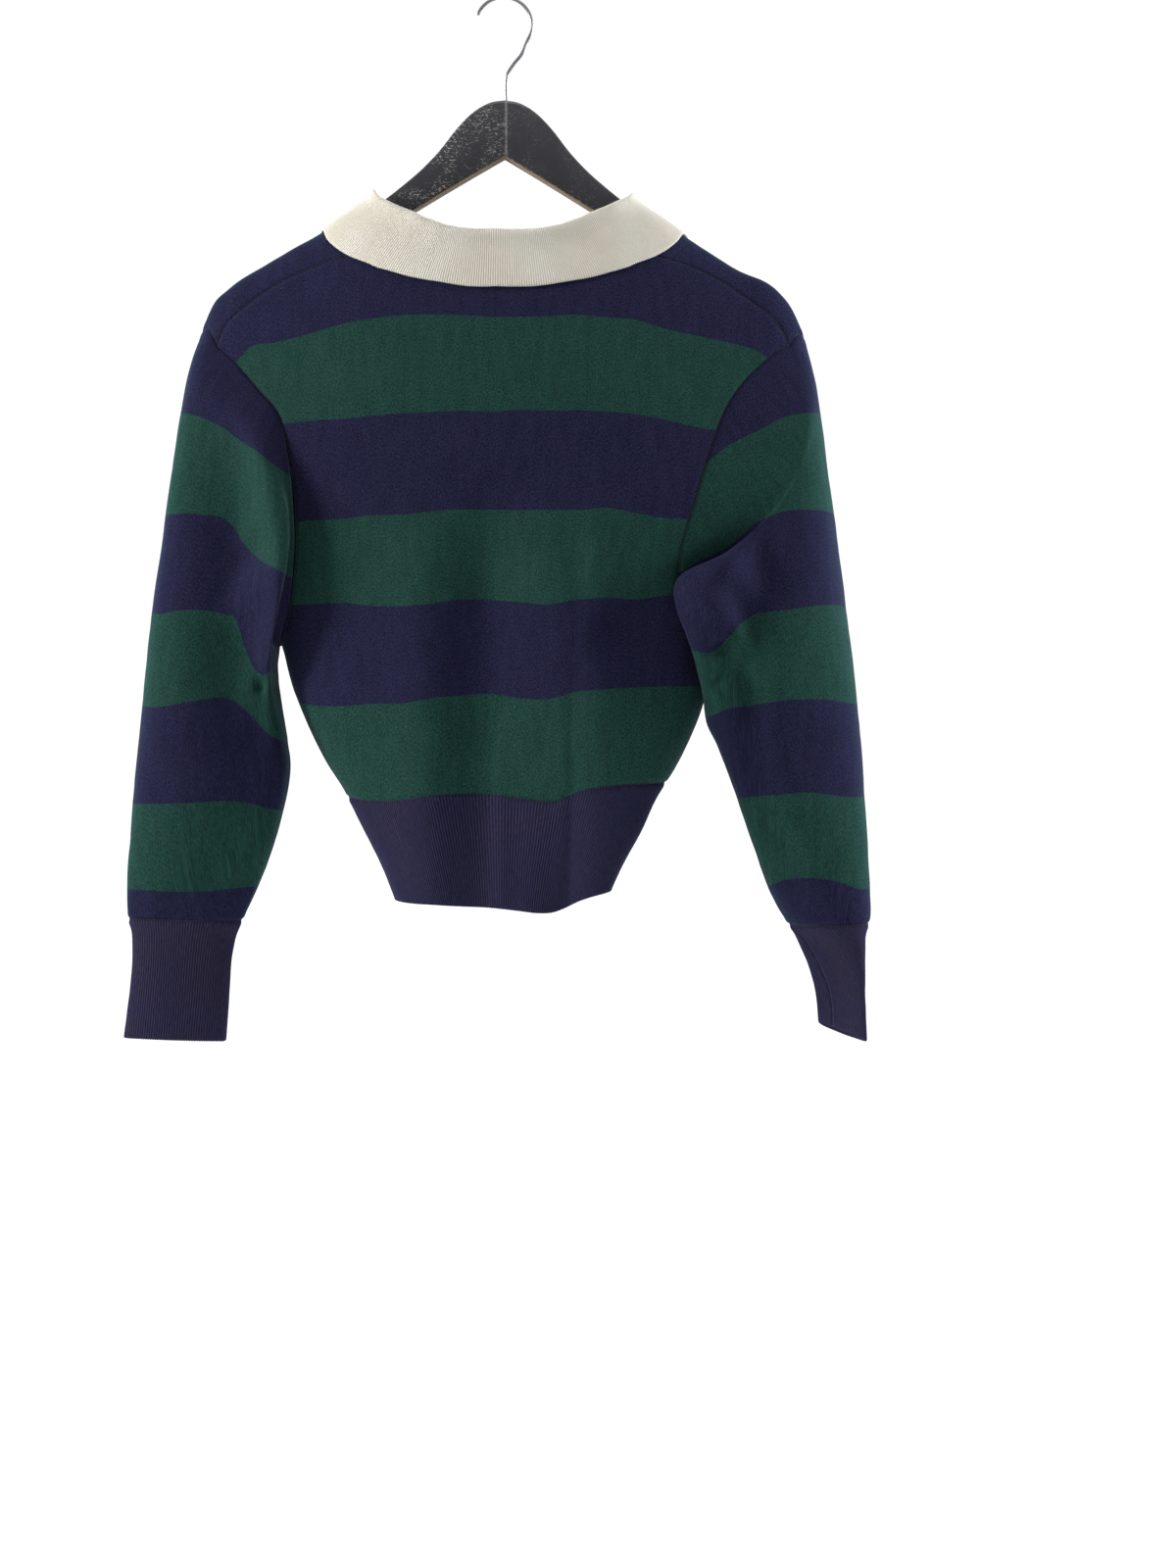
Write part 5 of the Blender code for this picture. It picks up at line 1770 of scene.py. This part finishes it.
@dataclass
class Collar(Garment):
    """The rib collar: it stands up from the neckline, folds over and lies on the shoulders."""

    ribs: int = 440
    lines: int = 110
    stand_rows: int = 12
    fall_rows: int = 10
    opening: float = 0.15
    gap: float = 0.0002
    wall: float = 0.0022
    unevenness: float = 0.0004
    squareness: float = 0.85
    search_steps: int = 400
    smoothings: int = 6
    stand: Table = kept(STAND)
    fall: Table = kept(FALL)

    def neckline(self) -> Array:
        """Rows round the neck, at even steps along the collar.

        Returns:
            Neckline places, free edge places and stand.
        """
        s = self.seams
        backs = [self.squared(joined(s.half_back_neck(side), s.yoke_neck(side))) for side in Side]
        left, right = (joined(row, self.paced(s.v_neck(side))) for row, side in zip(backs, Side))
        rows = joined(left[::-1], right)
        for end, beside in ((0, 1), (-1, -2)):
            rows[end] += (rows[beside] - rows[end]) * self.opening
        along = distances(self.body.point(rows[:, 2:4]))
        stops = np.linspace(0, along[-1], self.lines + 1)
        return np.stack([np.interp(stops, along, column) for column in rows.T], axis=1)

    def paced(self, rows: Array) -> Array:
        """Spaces the ribs' ends evenly along the neckline and along the free edge.

        Args:
            rows: neckline places, free edge places and stand.

        Returns:
            Rows of the same number.
        """
        spaced = rows.copy()
        for pair in (slice(0, 2), slice(2, 4)):
            along = distances(self.body.point(rows[:, pair]))
            steps = np.linspace(0, along[-1], len(rows))
            spaced[:, pair] = curve(along, rows[:, pair], steps)
        return spaced

    def squared(self, rows: Array) -> Array:
        """Sets the ribs evenly along the free edge, each from near the neckline's nearest place.

        Args:
            rows: neckline places, free edge places and stand, from the middle out.

        Returns:
            Rows of the same number, with the same ends.
        """
        spaced = self.paced(rows)
        neck, edge = self.body.point(rows[:, :2]), self.body.point(spaced[:, 2:4])
        along = distances(neck)
        fine = np.linspace(0, along[-1], self.search_steps)
        line = curve(along, neck, fine)
        near = fine[np.linalg.norm(edge[:, None] - line[None], axis=-1).argmin(axis=1)]
        share = np.linspace(0, 1, len(rows))
        near = np.maximum.accumulate(near + (along[-1] - near[-1]) * share**3)
        near = self.squareness * near + (1 - self.squareness) * along[-1] * share
        for _ in range(self.smoothings):
            near[1:-1] = (near[:-2] + near[1:-1] * 2 + near[2:]) / 4
        spaced[:, :2] = curve(along, rows[:, :2], near)
        return spaced

    @staticmethod
    def strip(line: Array, levels: Array) -> Array:
        """Reads one line across the collar.

        Args:
            line: its listed points, from the neckline over the fold to the free edge.
            levels: where to read it, counted in listed points.

        Returns:
            The points there.
        """
        along = distances(line)
        return curve(along, line, np.interp(levels, np.arange(len(line)), along))

    def build(self) -> Object:
        """The collar as one strip.

        Returns:
            The collar, before its ribs are raised.
        """
        rows = self.neckline()
        neck, edge, stand = rows[:, :2], rows[:, 2:4], rows[:, 4]
        foot, out = self.body.point(neck), self.body.normal(neck)
        up = unit(np.cross(out, np.gradient(foot, axis=0)))
        lines = [
            foot + up * (self.gap + rise * stand)[:, None] + out * (away - self.cloth.wall / 2)
            for rise, away in zip(self.stand["up"], self.stand["out"])
        ]
        for share, over in zip(self.fall["share"], self.fall["over"]):
            place = (1 - share) * neck + share * edge
            lines.append(self.body.point(place) + self.body.normal(place) * over)
        turn, last = len(self.stand["up"]) - 1, len(lines) - 1
        stand_levels = np.linspace(0, turn, self.stand_rows + 1)
        levels = joined(stand_levels, np.linspace(turn, last, self.fall_rows + 1))
        levels = fringed(levels, 0, first=False)
        middle = np.stack([self.strip(line, levels) for line in np.stack(lines, axis=1)])
        fine = np.linspace(0, self.lines, self.ribs * RIB_POINTS + 1)
        middle = curve(np.arange(self.lines + 1), middle, fine).swapaxes(0, 1)
        normal = unit(np.cross(np.gradient(middle, axis=1), np.gradient(middle, axis=0)))
        knit = rib_knit(distances(middle[:, middle.shape[1] // 2]), self.ribs)
        stripe = np.zeros(middle.shape[:2])
        patch = Patch(middle + normal * self.wall / 2, knit, stripe, False, True)
        cloth = Cloth(wall=self.wall, seam_dip=0.0, swell=0.0, unevenness=self.unevenness)
        return cloth.sew("collar_rib", [patch])


@dataclass
class SeamYarn(Garment):
    """The linking yarn along the seams that show."""

    arms: tuple[Arm, ...] = ()
    sink: float = 0.0008
    pitch: float = 0.0021
    stitch: float = 0.0019
    yarn: float = 0.00055
    band_steps: int = 120

    def on_body(self) -> list[tuple[Array, Array]]:
        """Points and outward vectors along the torso's seams.

        Returns:
            One pair for each seam.
        """
        s, quarter = self.seams, math.pi / 2
        across = np.linspace(-quarter, quarter, self.band_steps)
        routes = [s.hem_level(across, face, 0) for face in Face]
        for side in Side:
            routes += [s.shoulder_seam(side), s.armhole_ring(side), s.side_seam(side, Face.BACK)]
        return [(self.body.point(route), self.body.normal(route)) for route in routes]

    def on_arms(self) -> list[tuple[Array, Array]]:
        """Points and outward vectors along the cuffs' joins.

        Returns:
            One pair for each join.
        """
        routes = []
        for arm in self.arms:
            grid = arm.loft(0, arm.cuff_ring, arm.sleeve_cells, True)
            out = -arm.side * unit(np.cross(np.gradient(grid, axis=0), np.gradient(grid, axis=1)))
            routes.append((grid[-1], out[-1]))
        return routes

    def build(self, material: bpy.types.Material) -> Object:
        """Sets the stitches.

        Args:
            material: the yarn's finish.

        Returns:
            All the stitches as one piece.
        """
        points, outs, edges, start = [], [], [], 0
        for line, out in self.on_body() + self.on_arms():
            points.append(line - out * self.sink)
            outs.append(out)
            edges += [(start + i, start + i + 1) for i in range(len(line) - 1)]
            start += len(line)
        mesh = bpy.data.meshes.new("seam_yarn")
        mesh.from_pydata(np.concatenate(points), edges, [])
        data = mesh.attributes.new("out", "FLOAT_VECTOR", "POINT").data
        data.foreach_set("vector", np.concatenate(outs).ravel())
        tree = stitch_tree(material, self.pitch, self.stitch, self.yarn)
        return tree.run(add_object("seam_yarn", mesh))


# --- Hanger ------------------------------------------------------------------------------------
# The bend of the wire between its straight shank and its round top: x and z.
HOOK_STRAIGHT = -0.064  # where the bend starts
HOOK_BEND = ((0.003, -0.058), (0.0075, -0.0505), (0.0135, -0.043))

# The hanger's wood, by its distance from the middle.
WOOD_PROFILE = table(
    "out top bottom half",
    (0.0, -0.0793, -0.1231, 0.007),
    (0.011, -0.0812, -0.1296, 0.007),
    (0.023, -0.0879, -0.1367, 0.007),
    (0.036, -0.1007, -0.1445, 0.007),
    (0.05, -0.1186, -0.153, 0.007),
    (0.064, -0.1334, -0.1616, 0.0069),
    (0.078, -0.1455, -0.1704, 0.0068),
    (0.095, -0.159, -0.1812, 0.0066),
    (0.12, -0.1784, -0.196, 0.0063),
    (0.15, -0.195, -0.2127, 0.006),
    (0.18, -0.212, -0.229, 0.0056),
    (0.204, -0.2262, -0.2412, 0.0052),
    (0.214, -0.2335, -0.2452, 0.0046),
    (0.218, -0.238, -0.2445, 0.0034),
)


@dataclass
class Hanger:
    """The wooden hanger and its wire hook."""

    middle: float = 0.0008
    shank_x: float = 0.002
    tilt: float = 0.012
    edge: float = 0.0026
    edges_in_height: float = 2.5
    edges_in_half: float = 1.6
    arm_rings: int = 64
    tip_rings: int = 12
    corner_cells: int = 4
    end_out: float = 0.205
    tip_out: float = 0.218
    upper_wear: float = 0.28
    lower_wear: float = 0.75
    # How strongly every point of the underside takes the brown wood colour.
    underside_brown: float = 0.95
    under_height: float = 0.0006
    wire: float = 0.0026
    wire_sides: int = 16
    hook_steps: int = 150
    round_points: int = 15
    hook_radius: float = 0.0204
    hook_turns: tuple[float, float] = (-33.0, 158.0)
    shank_depth: float = 0.018
    profile: Table = kept(WOOD_PROFILE)

    def wood(self) -> Object:
        """The shaped wood, with rounded edges and wear marked along them.

        Returns:
            The piece.
        """
        arm = np.linspace(0, self.end_out, self.arm_rings)
        half_outs = joined(arm, np.linspace(self.end_out, self.tip_out, self.tip_rings))
        outs = joined(-half_outs[::-1], half_outs)
        corner = np.linspace(0, math.pi / 2, self.corner_cells + 1)
        rings, wears = [], []
        for out in outs:
            top, bottom, half = (
                curve(self.profile["out"], self.profile[name], abs(out))
                for name in ("top", "bottom", "half")
            )
            slim = min((top - bottom) / self.edges_in_height, half / self.edges_in_half)
            edge = min(self.edge, slim)
            x, sink = out + self.middle, -self.tilt * out
            ring, wear = [], []
            for start, (side_y, side_z) in enumerate(((-1, 1), (1, 1), (1, -1), (-1, -1))):
                centre_y = side_y * (half - edge)
                centre_z = (top - edge) if side_z > 0 else (bottom + edge)
                strength = self.lower_wear if side_z < 0 else self.upper_wear
                for turn in corner:
                    angle = math.pi - start * math.pi / 2 - turn
                    y, z = centre_y + edge * math.cos(angle), centre_z + edge * math.sin(angle)
                    ring.append((x, y, z + sink))
                    wear.append(math.sin(turn * 2) * strength)
            # Every point of the underside takes the brown wood colour, all along the hanger.
            for k, (_, _, z) in enumerate(ring):
                if z < bottom + sink + self.under_height:
                    wear[k] = max(wear[k], self.underside_brown)
            rings.append(ring)
            wears.append(wear)
        return solid("hanger_wood", np.array(rings), np.array(wears))

    def hook(self) -> Object:
        """The wire hook as a tube along its line.

        Returns:
            The piece.
        """
        wood_top = self.profile["top"][0]
        straight = [(self.shank_x, z) for z in (wood_top - self.shank_depth, wood_top, HOOK_STRAIGHT)]
        shank = np.array(straight + list(HOOK_BEND))
        radius = self.hook_radius + self.wire / 2
        turns = np.linspace(*np.radians(self.hook_turns), self.round_points)
        top = np.stack([radius * np.cos(turns), radius * np.sin(turns) - self.hook_radius], axis=1)
        line = even(np.concatenate([shank, top]), self.hook_steps)
        tangent = unit(np.gradient(line, axis=0))
        side = np.stack([-tangent[:, 1], tangent[:, 0]], axis=1)
        angles = np.linspace(0, 2 * math.pi, self.wire_sides + 1)[:-1]
        ends = np.minimum(np.arange(len(line)), np.arange(len(line))[::-1])
        size = self.wire / 2 * np.sqrt(np.clip((ends + 1) / 2.0, 0, 1))
        away = size[:, None] * np.cos(angles)
        x, z = (line[:, None, axis] + side[:, None, axis] * away for axis in (0, 1))
        return solid("hook_wire", np.stack([x, size[:, None] * np.sin(angles), z], axis=-1))


def solid(name: str, rings: Array, wear: Array | None = None) -> Object:
    """Makes a closed solid from rings that follow each other.

    Args:
        name: the piece's name.
        rings: points, ring by ring.
        wear: how worn each point is, where the piece shows wear.

    Returns:
        The piece, smooth and facing outwards.
    """
    count, sides = rings.shape[:2]
    corner = np.arange(sides)
    wall = np.stack([corner, corner + sides, np.roll(corner, -1) + sides, np.roll(corner, -1)], 1)
    faces = [list(face) for ring in range(count - 1) for face in wall + ring * sides]
    faces += [list(corner), list(corner[::-1] + (count - 1) * sides)]
    mesh = bpy.data.meshes.new(name)
    mesh.from_pydata(rings.reshape(-1, 3), [], faces)
    if wear is not None:
        set_values(mesh, "wear", wear.ravel())
    outward(mesh)
    mesh.shade_smooth()
    return add_object(name, mesh)


def outward(mesh: bpy.types.Mesh) -> None:
    """Merges doubles and turns a closed mesh's faces outwards.

    Args:
        mesh: the mesh, which is changed.
    """
    bm = bmesh.new()
    bm.from_mesh(mesh)
    bmesh.ops.remove_doubles(bm, verts=bm.verts, dist=1e-7)
    bmesh.ops.recalc_face_normals(bm, faces=bm.faces)
    bm.to_mesh(mesh)
    bm.free()


# --- Studio ------------------------------------------------------------------------------------
@dataclass(frozen=True)
class Lamp:
    """A soft square light that looks at the garment."""

    name: str
    place: tuple[float, float, float]
    size: float
    power: float
    colour: Colour = (1.0, 1.0, 1.0)


@dataclass
class Studio:
    """Floor, daylight, lamps and the camera."""

    target: tuple[float, float, float] = (0.0, 0.0, -0.45)
    floor_height: float = -1.45
    floor_reach: float = 40.0
    sensor: float = 36.0
    camera_place: tuple[float, float, float] = (0.0649, -2.0, -0.6048)
    pixel: float = 0.000755
    long_side: int = 1600
    backdrop: float = 1.05
    daylight: float = 0.06
    mirrored: float = 0.4
    floor_glow: float = 1.1
    lamps: tuple[Lamp, ...] = (
        Lamp("key", (-2.35, -0.76, 0.3), 0.8, 82.0, (1.0, 0.98, 0.96)),
        Lamp("fill", (2.45, -0.08, 0.2), 0.8, 70.0, (1.0, 0.98, 1.0)),
        Lamp("low", (0.1, -0.9, -1.35), 0.8, 3.0, (0.98, 0.97, 1.0)),
        Lamp("top", (0.1, -0.6, 1.2), 0.8, 14.0, (1.0, 0.98, 1.0)),
        Lamp("rim_left", (-1.5, 0.9, 0.2), 1.0, 30.0, (0.66, 0.88, 1.0)),
        Lamp("rim_right", (1.5, 0.9, 0.2), 1.0, 30.0, (0.66, 0.88, 1.0)),
    )

    def floor(self) -> None:
        """A plain pale floor."""
        mesh = bpy.data.meshes.new("floor")
        corners = ((-1, -1), (1, -1), (1, 1), (-1, 1))
        reach = [(x * self.floor_reach, y * self.floor_reach) for x, y in corners]
        mesh.from_pydata([(*place, self.floor_height) for place in reach], [], [(0, 1, 2, 3)])
        floor = add_object("floor", mesh)
        material, w, shader = Finish("pale_floor", roughness=0.9).start()
        shader.inputs["Base Color"].default_value = (0.9, 0.9, 0.9, 1.0)
        shader.inputs["Emission Color"].default_value = (1.0, 1.0, 1.0, 1.0)
        seen = w.node("ShaderNodeLightPath").outputs["Is Camera Ray"]
        w.put(shader.inputs["Emission Strength"], w.math("MULTIPLY", seen, self.floor_glow))
        mesh.materials.append(material)

    def light(self) -> None:
        """Daylight all round and the soft lamps."""
        world = bpy.data.worlds.new("studio")
        world.use_nodes = True
        wiring = Wiring(world.node_tree)
        path = wiring.node("ShaderNodeLightPath").outputs
        bright = wiring.math("MULTIPLY", path["Is Camera Ray"], self.backdrop)
        mirror = wiring.math("MULTIPLY", path["Is Glossy Ray"], self.mirrored)
        light = wiring.math("MAXIMUM", wiring.math("MAXIMUM", bright, mirror), self.daylight)
        sky = world.node_tree.nodes["Background"]
        sky.inputs["Color"].default_value = (1.0, 1.0, 1.0, 1.0)
        wiring.put(sky.inputs["Strength"], light)
        bpy.context.scene.world = world
        for lamp in self.lamps:
            data = bpy.data.lights.new(lamp.name, "AREA")
            data.size = lamp.size
            data.energy = lamp.power
            data.color = lamp.colour
            obj = add_object(lamp.name, data)
            obj.location = lamp.place
            aim = Vector(self.target) - Vector(lamp.place)
            obj.rotation_euler = aim.to_track_quat("-Z", "Y").to_euler()

    def camera(self) -> None:
        """The camera at the photograph's place."""
        data = bpy.data.cameras.new("camera")
        distance = -self.camera_place[1]
        data.sensor_width = self.sensor
        data.lens = data.sensor_width * distance / (self.pixel * self.long_side)
        camera = add_object("camera", data)
        camera.location = self.camera_place
        camera.rotation_euler = (math.pi / 2, 0.0, 0.0)
        bpy.context.scene.camera = camera

    def build(self) -> None:
        """Sets up the whole studio."""
        bpy.context.scene.view_settings.view_transform = "Standard"
        self.floor()
        self.light()
        self.camera()


# --- All together ------------------------------------------------------------------------------
def dress(obj: Object, material: bpy.types.Material | None, slot: Slot, *nodes: str) -> Object:
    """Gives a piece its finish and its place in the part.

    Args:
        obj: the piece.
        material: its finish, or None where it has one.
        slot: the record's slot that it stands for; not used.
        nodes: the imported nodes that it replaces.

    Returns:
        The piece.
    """
    if material is not None:
        obj.data.materials.append(material)
    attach(obj, "root")
    if nodes:
        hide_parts(*nodes)
    log.info("%s: %d faces, %.4f m2 of cloth", obj.name, len(obj.data.polygons), area_of(obj))
    return obj


def add_ribs(obj: Object) -> Object:
    """Copies the cloth's course coordinate to its points, for the ribs.

    Args:
        obj: a piece of rib cloth.

    Returns:
        The same piece.
    """
    mesh = obj.data
    corner = np.zeros(len(mesh.loops), int)
    mesh.loops.foreach_get("vertex_index", corner)
    rib = np.zeros(len(mesh.vertices))
    rib[corner] = uv_of(mesh)[:, 0]
    set_values(mesh, "rib", rib)
    return obj


def main() -> None:
    """Builds the garment, its hanger and the studio."""
    logging.basicConfig(level=logging.INFO, format="%(message)s")
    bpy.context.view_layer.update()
    body, cells = Body(), Cells()
    seams = Seams(body, cells)
    parts = (body, seams, Stripes(), Cloth())
    soft = {"roughness": 0.95, "sheen": 0.12, "sheen_roughness": 0.3, "specular": 0.02}
    rib = {**soft, "sheen_tint": (0.65, 0.8, 1.0)}
    plain = PlainKnit("striped_knit_finish", sheen_tint=(0.6, 0.85, 1.0), **soft).make()
    # Its navy is raised partly as painted light from below.
    hem = RibKnit("hem_rib_finish", colour=HEM_NAVY, warm=HEM_WARM, **rib).make()
    # The cuffs' finish is a lighter copy of the hem's rib: painted light from the sides and below,
    # not wear.
    worn = RibKnit("cuff_rib_painted_light_finish", colour=CUFF_NAVY_PAINTED_LIT, warm=CUFF_WARM_PAINTED_LIT, **rib).make()
    pale = {"colour": CREAM, "warm": CREAM_WARM, "paler": CREAM_LINT}
    # The cream collar's rib valleys get a milder painted shade.
    shade = {"roughness": 0.9, "sheen": 0.1, "valley": 0.72, "heather": 0.06}
    cream = RibKnit("cream_rib_finish", **pale, **shade).make()
    panels = Panels(*parts)
    back = dress(panels.back(), plain, Slot.KNIT, "back")
    front = dress(panels.front(), plain, Slot.KNIT, "front")
    band = rib_tree(hem, NAVY_RELIEF).run(add_ribs(HemBand(*parts).build()))
    dress(band, None, Slot.NAVY_RIB, "hem_band")
    arms = tuple(Arm(*parts, side=side) for side in Side)
    ribs = rib_tree(worn, NAVY_RELIEF)
    for arm in arms:
        sleeve = dress(arm.sleeve(), plain, Slot.KNIT, f"sleeve_{arm.word}")
        cuff = ribs.run(add_ribs(arm.cuff()))
        dress(cuff, None, Slot.NAVY_RIB, f"cuff_{arm.word}")
    collar = rib_tree(cream, CREAM_RELIEF).run(add_ribs(Collar(*parts).build()))
    dress(collar, None, Slot.CREAM_RIB, "collar")
    yarn = Thread("seam_yarn_finish", roughness=0.9, sheen=0.2).make()
    stitches = dress(SeamYarn(*parts, arms=arms).build(yarn), None, Slot.KNIT)
    hanger = Hanger()
    paint = WornPaint("worn_black_paint", roughness=0.42, specular=0.5).make()
    plating = PlatedWire("plated_wire", roughness=0.34, metallic=1.0).make()
    wood = dress(hanger.wood(), paint, Slot.WOOD, "hanger")
    dress(hanger.hook(), plating, Slot.WIRE, "hanger_hook")
    Studio().build()


if __name__ == "__main__":
    main()
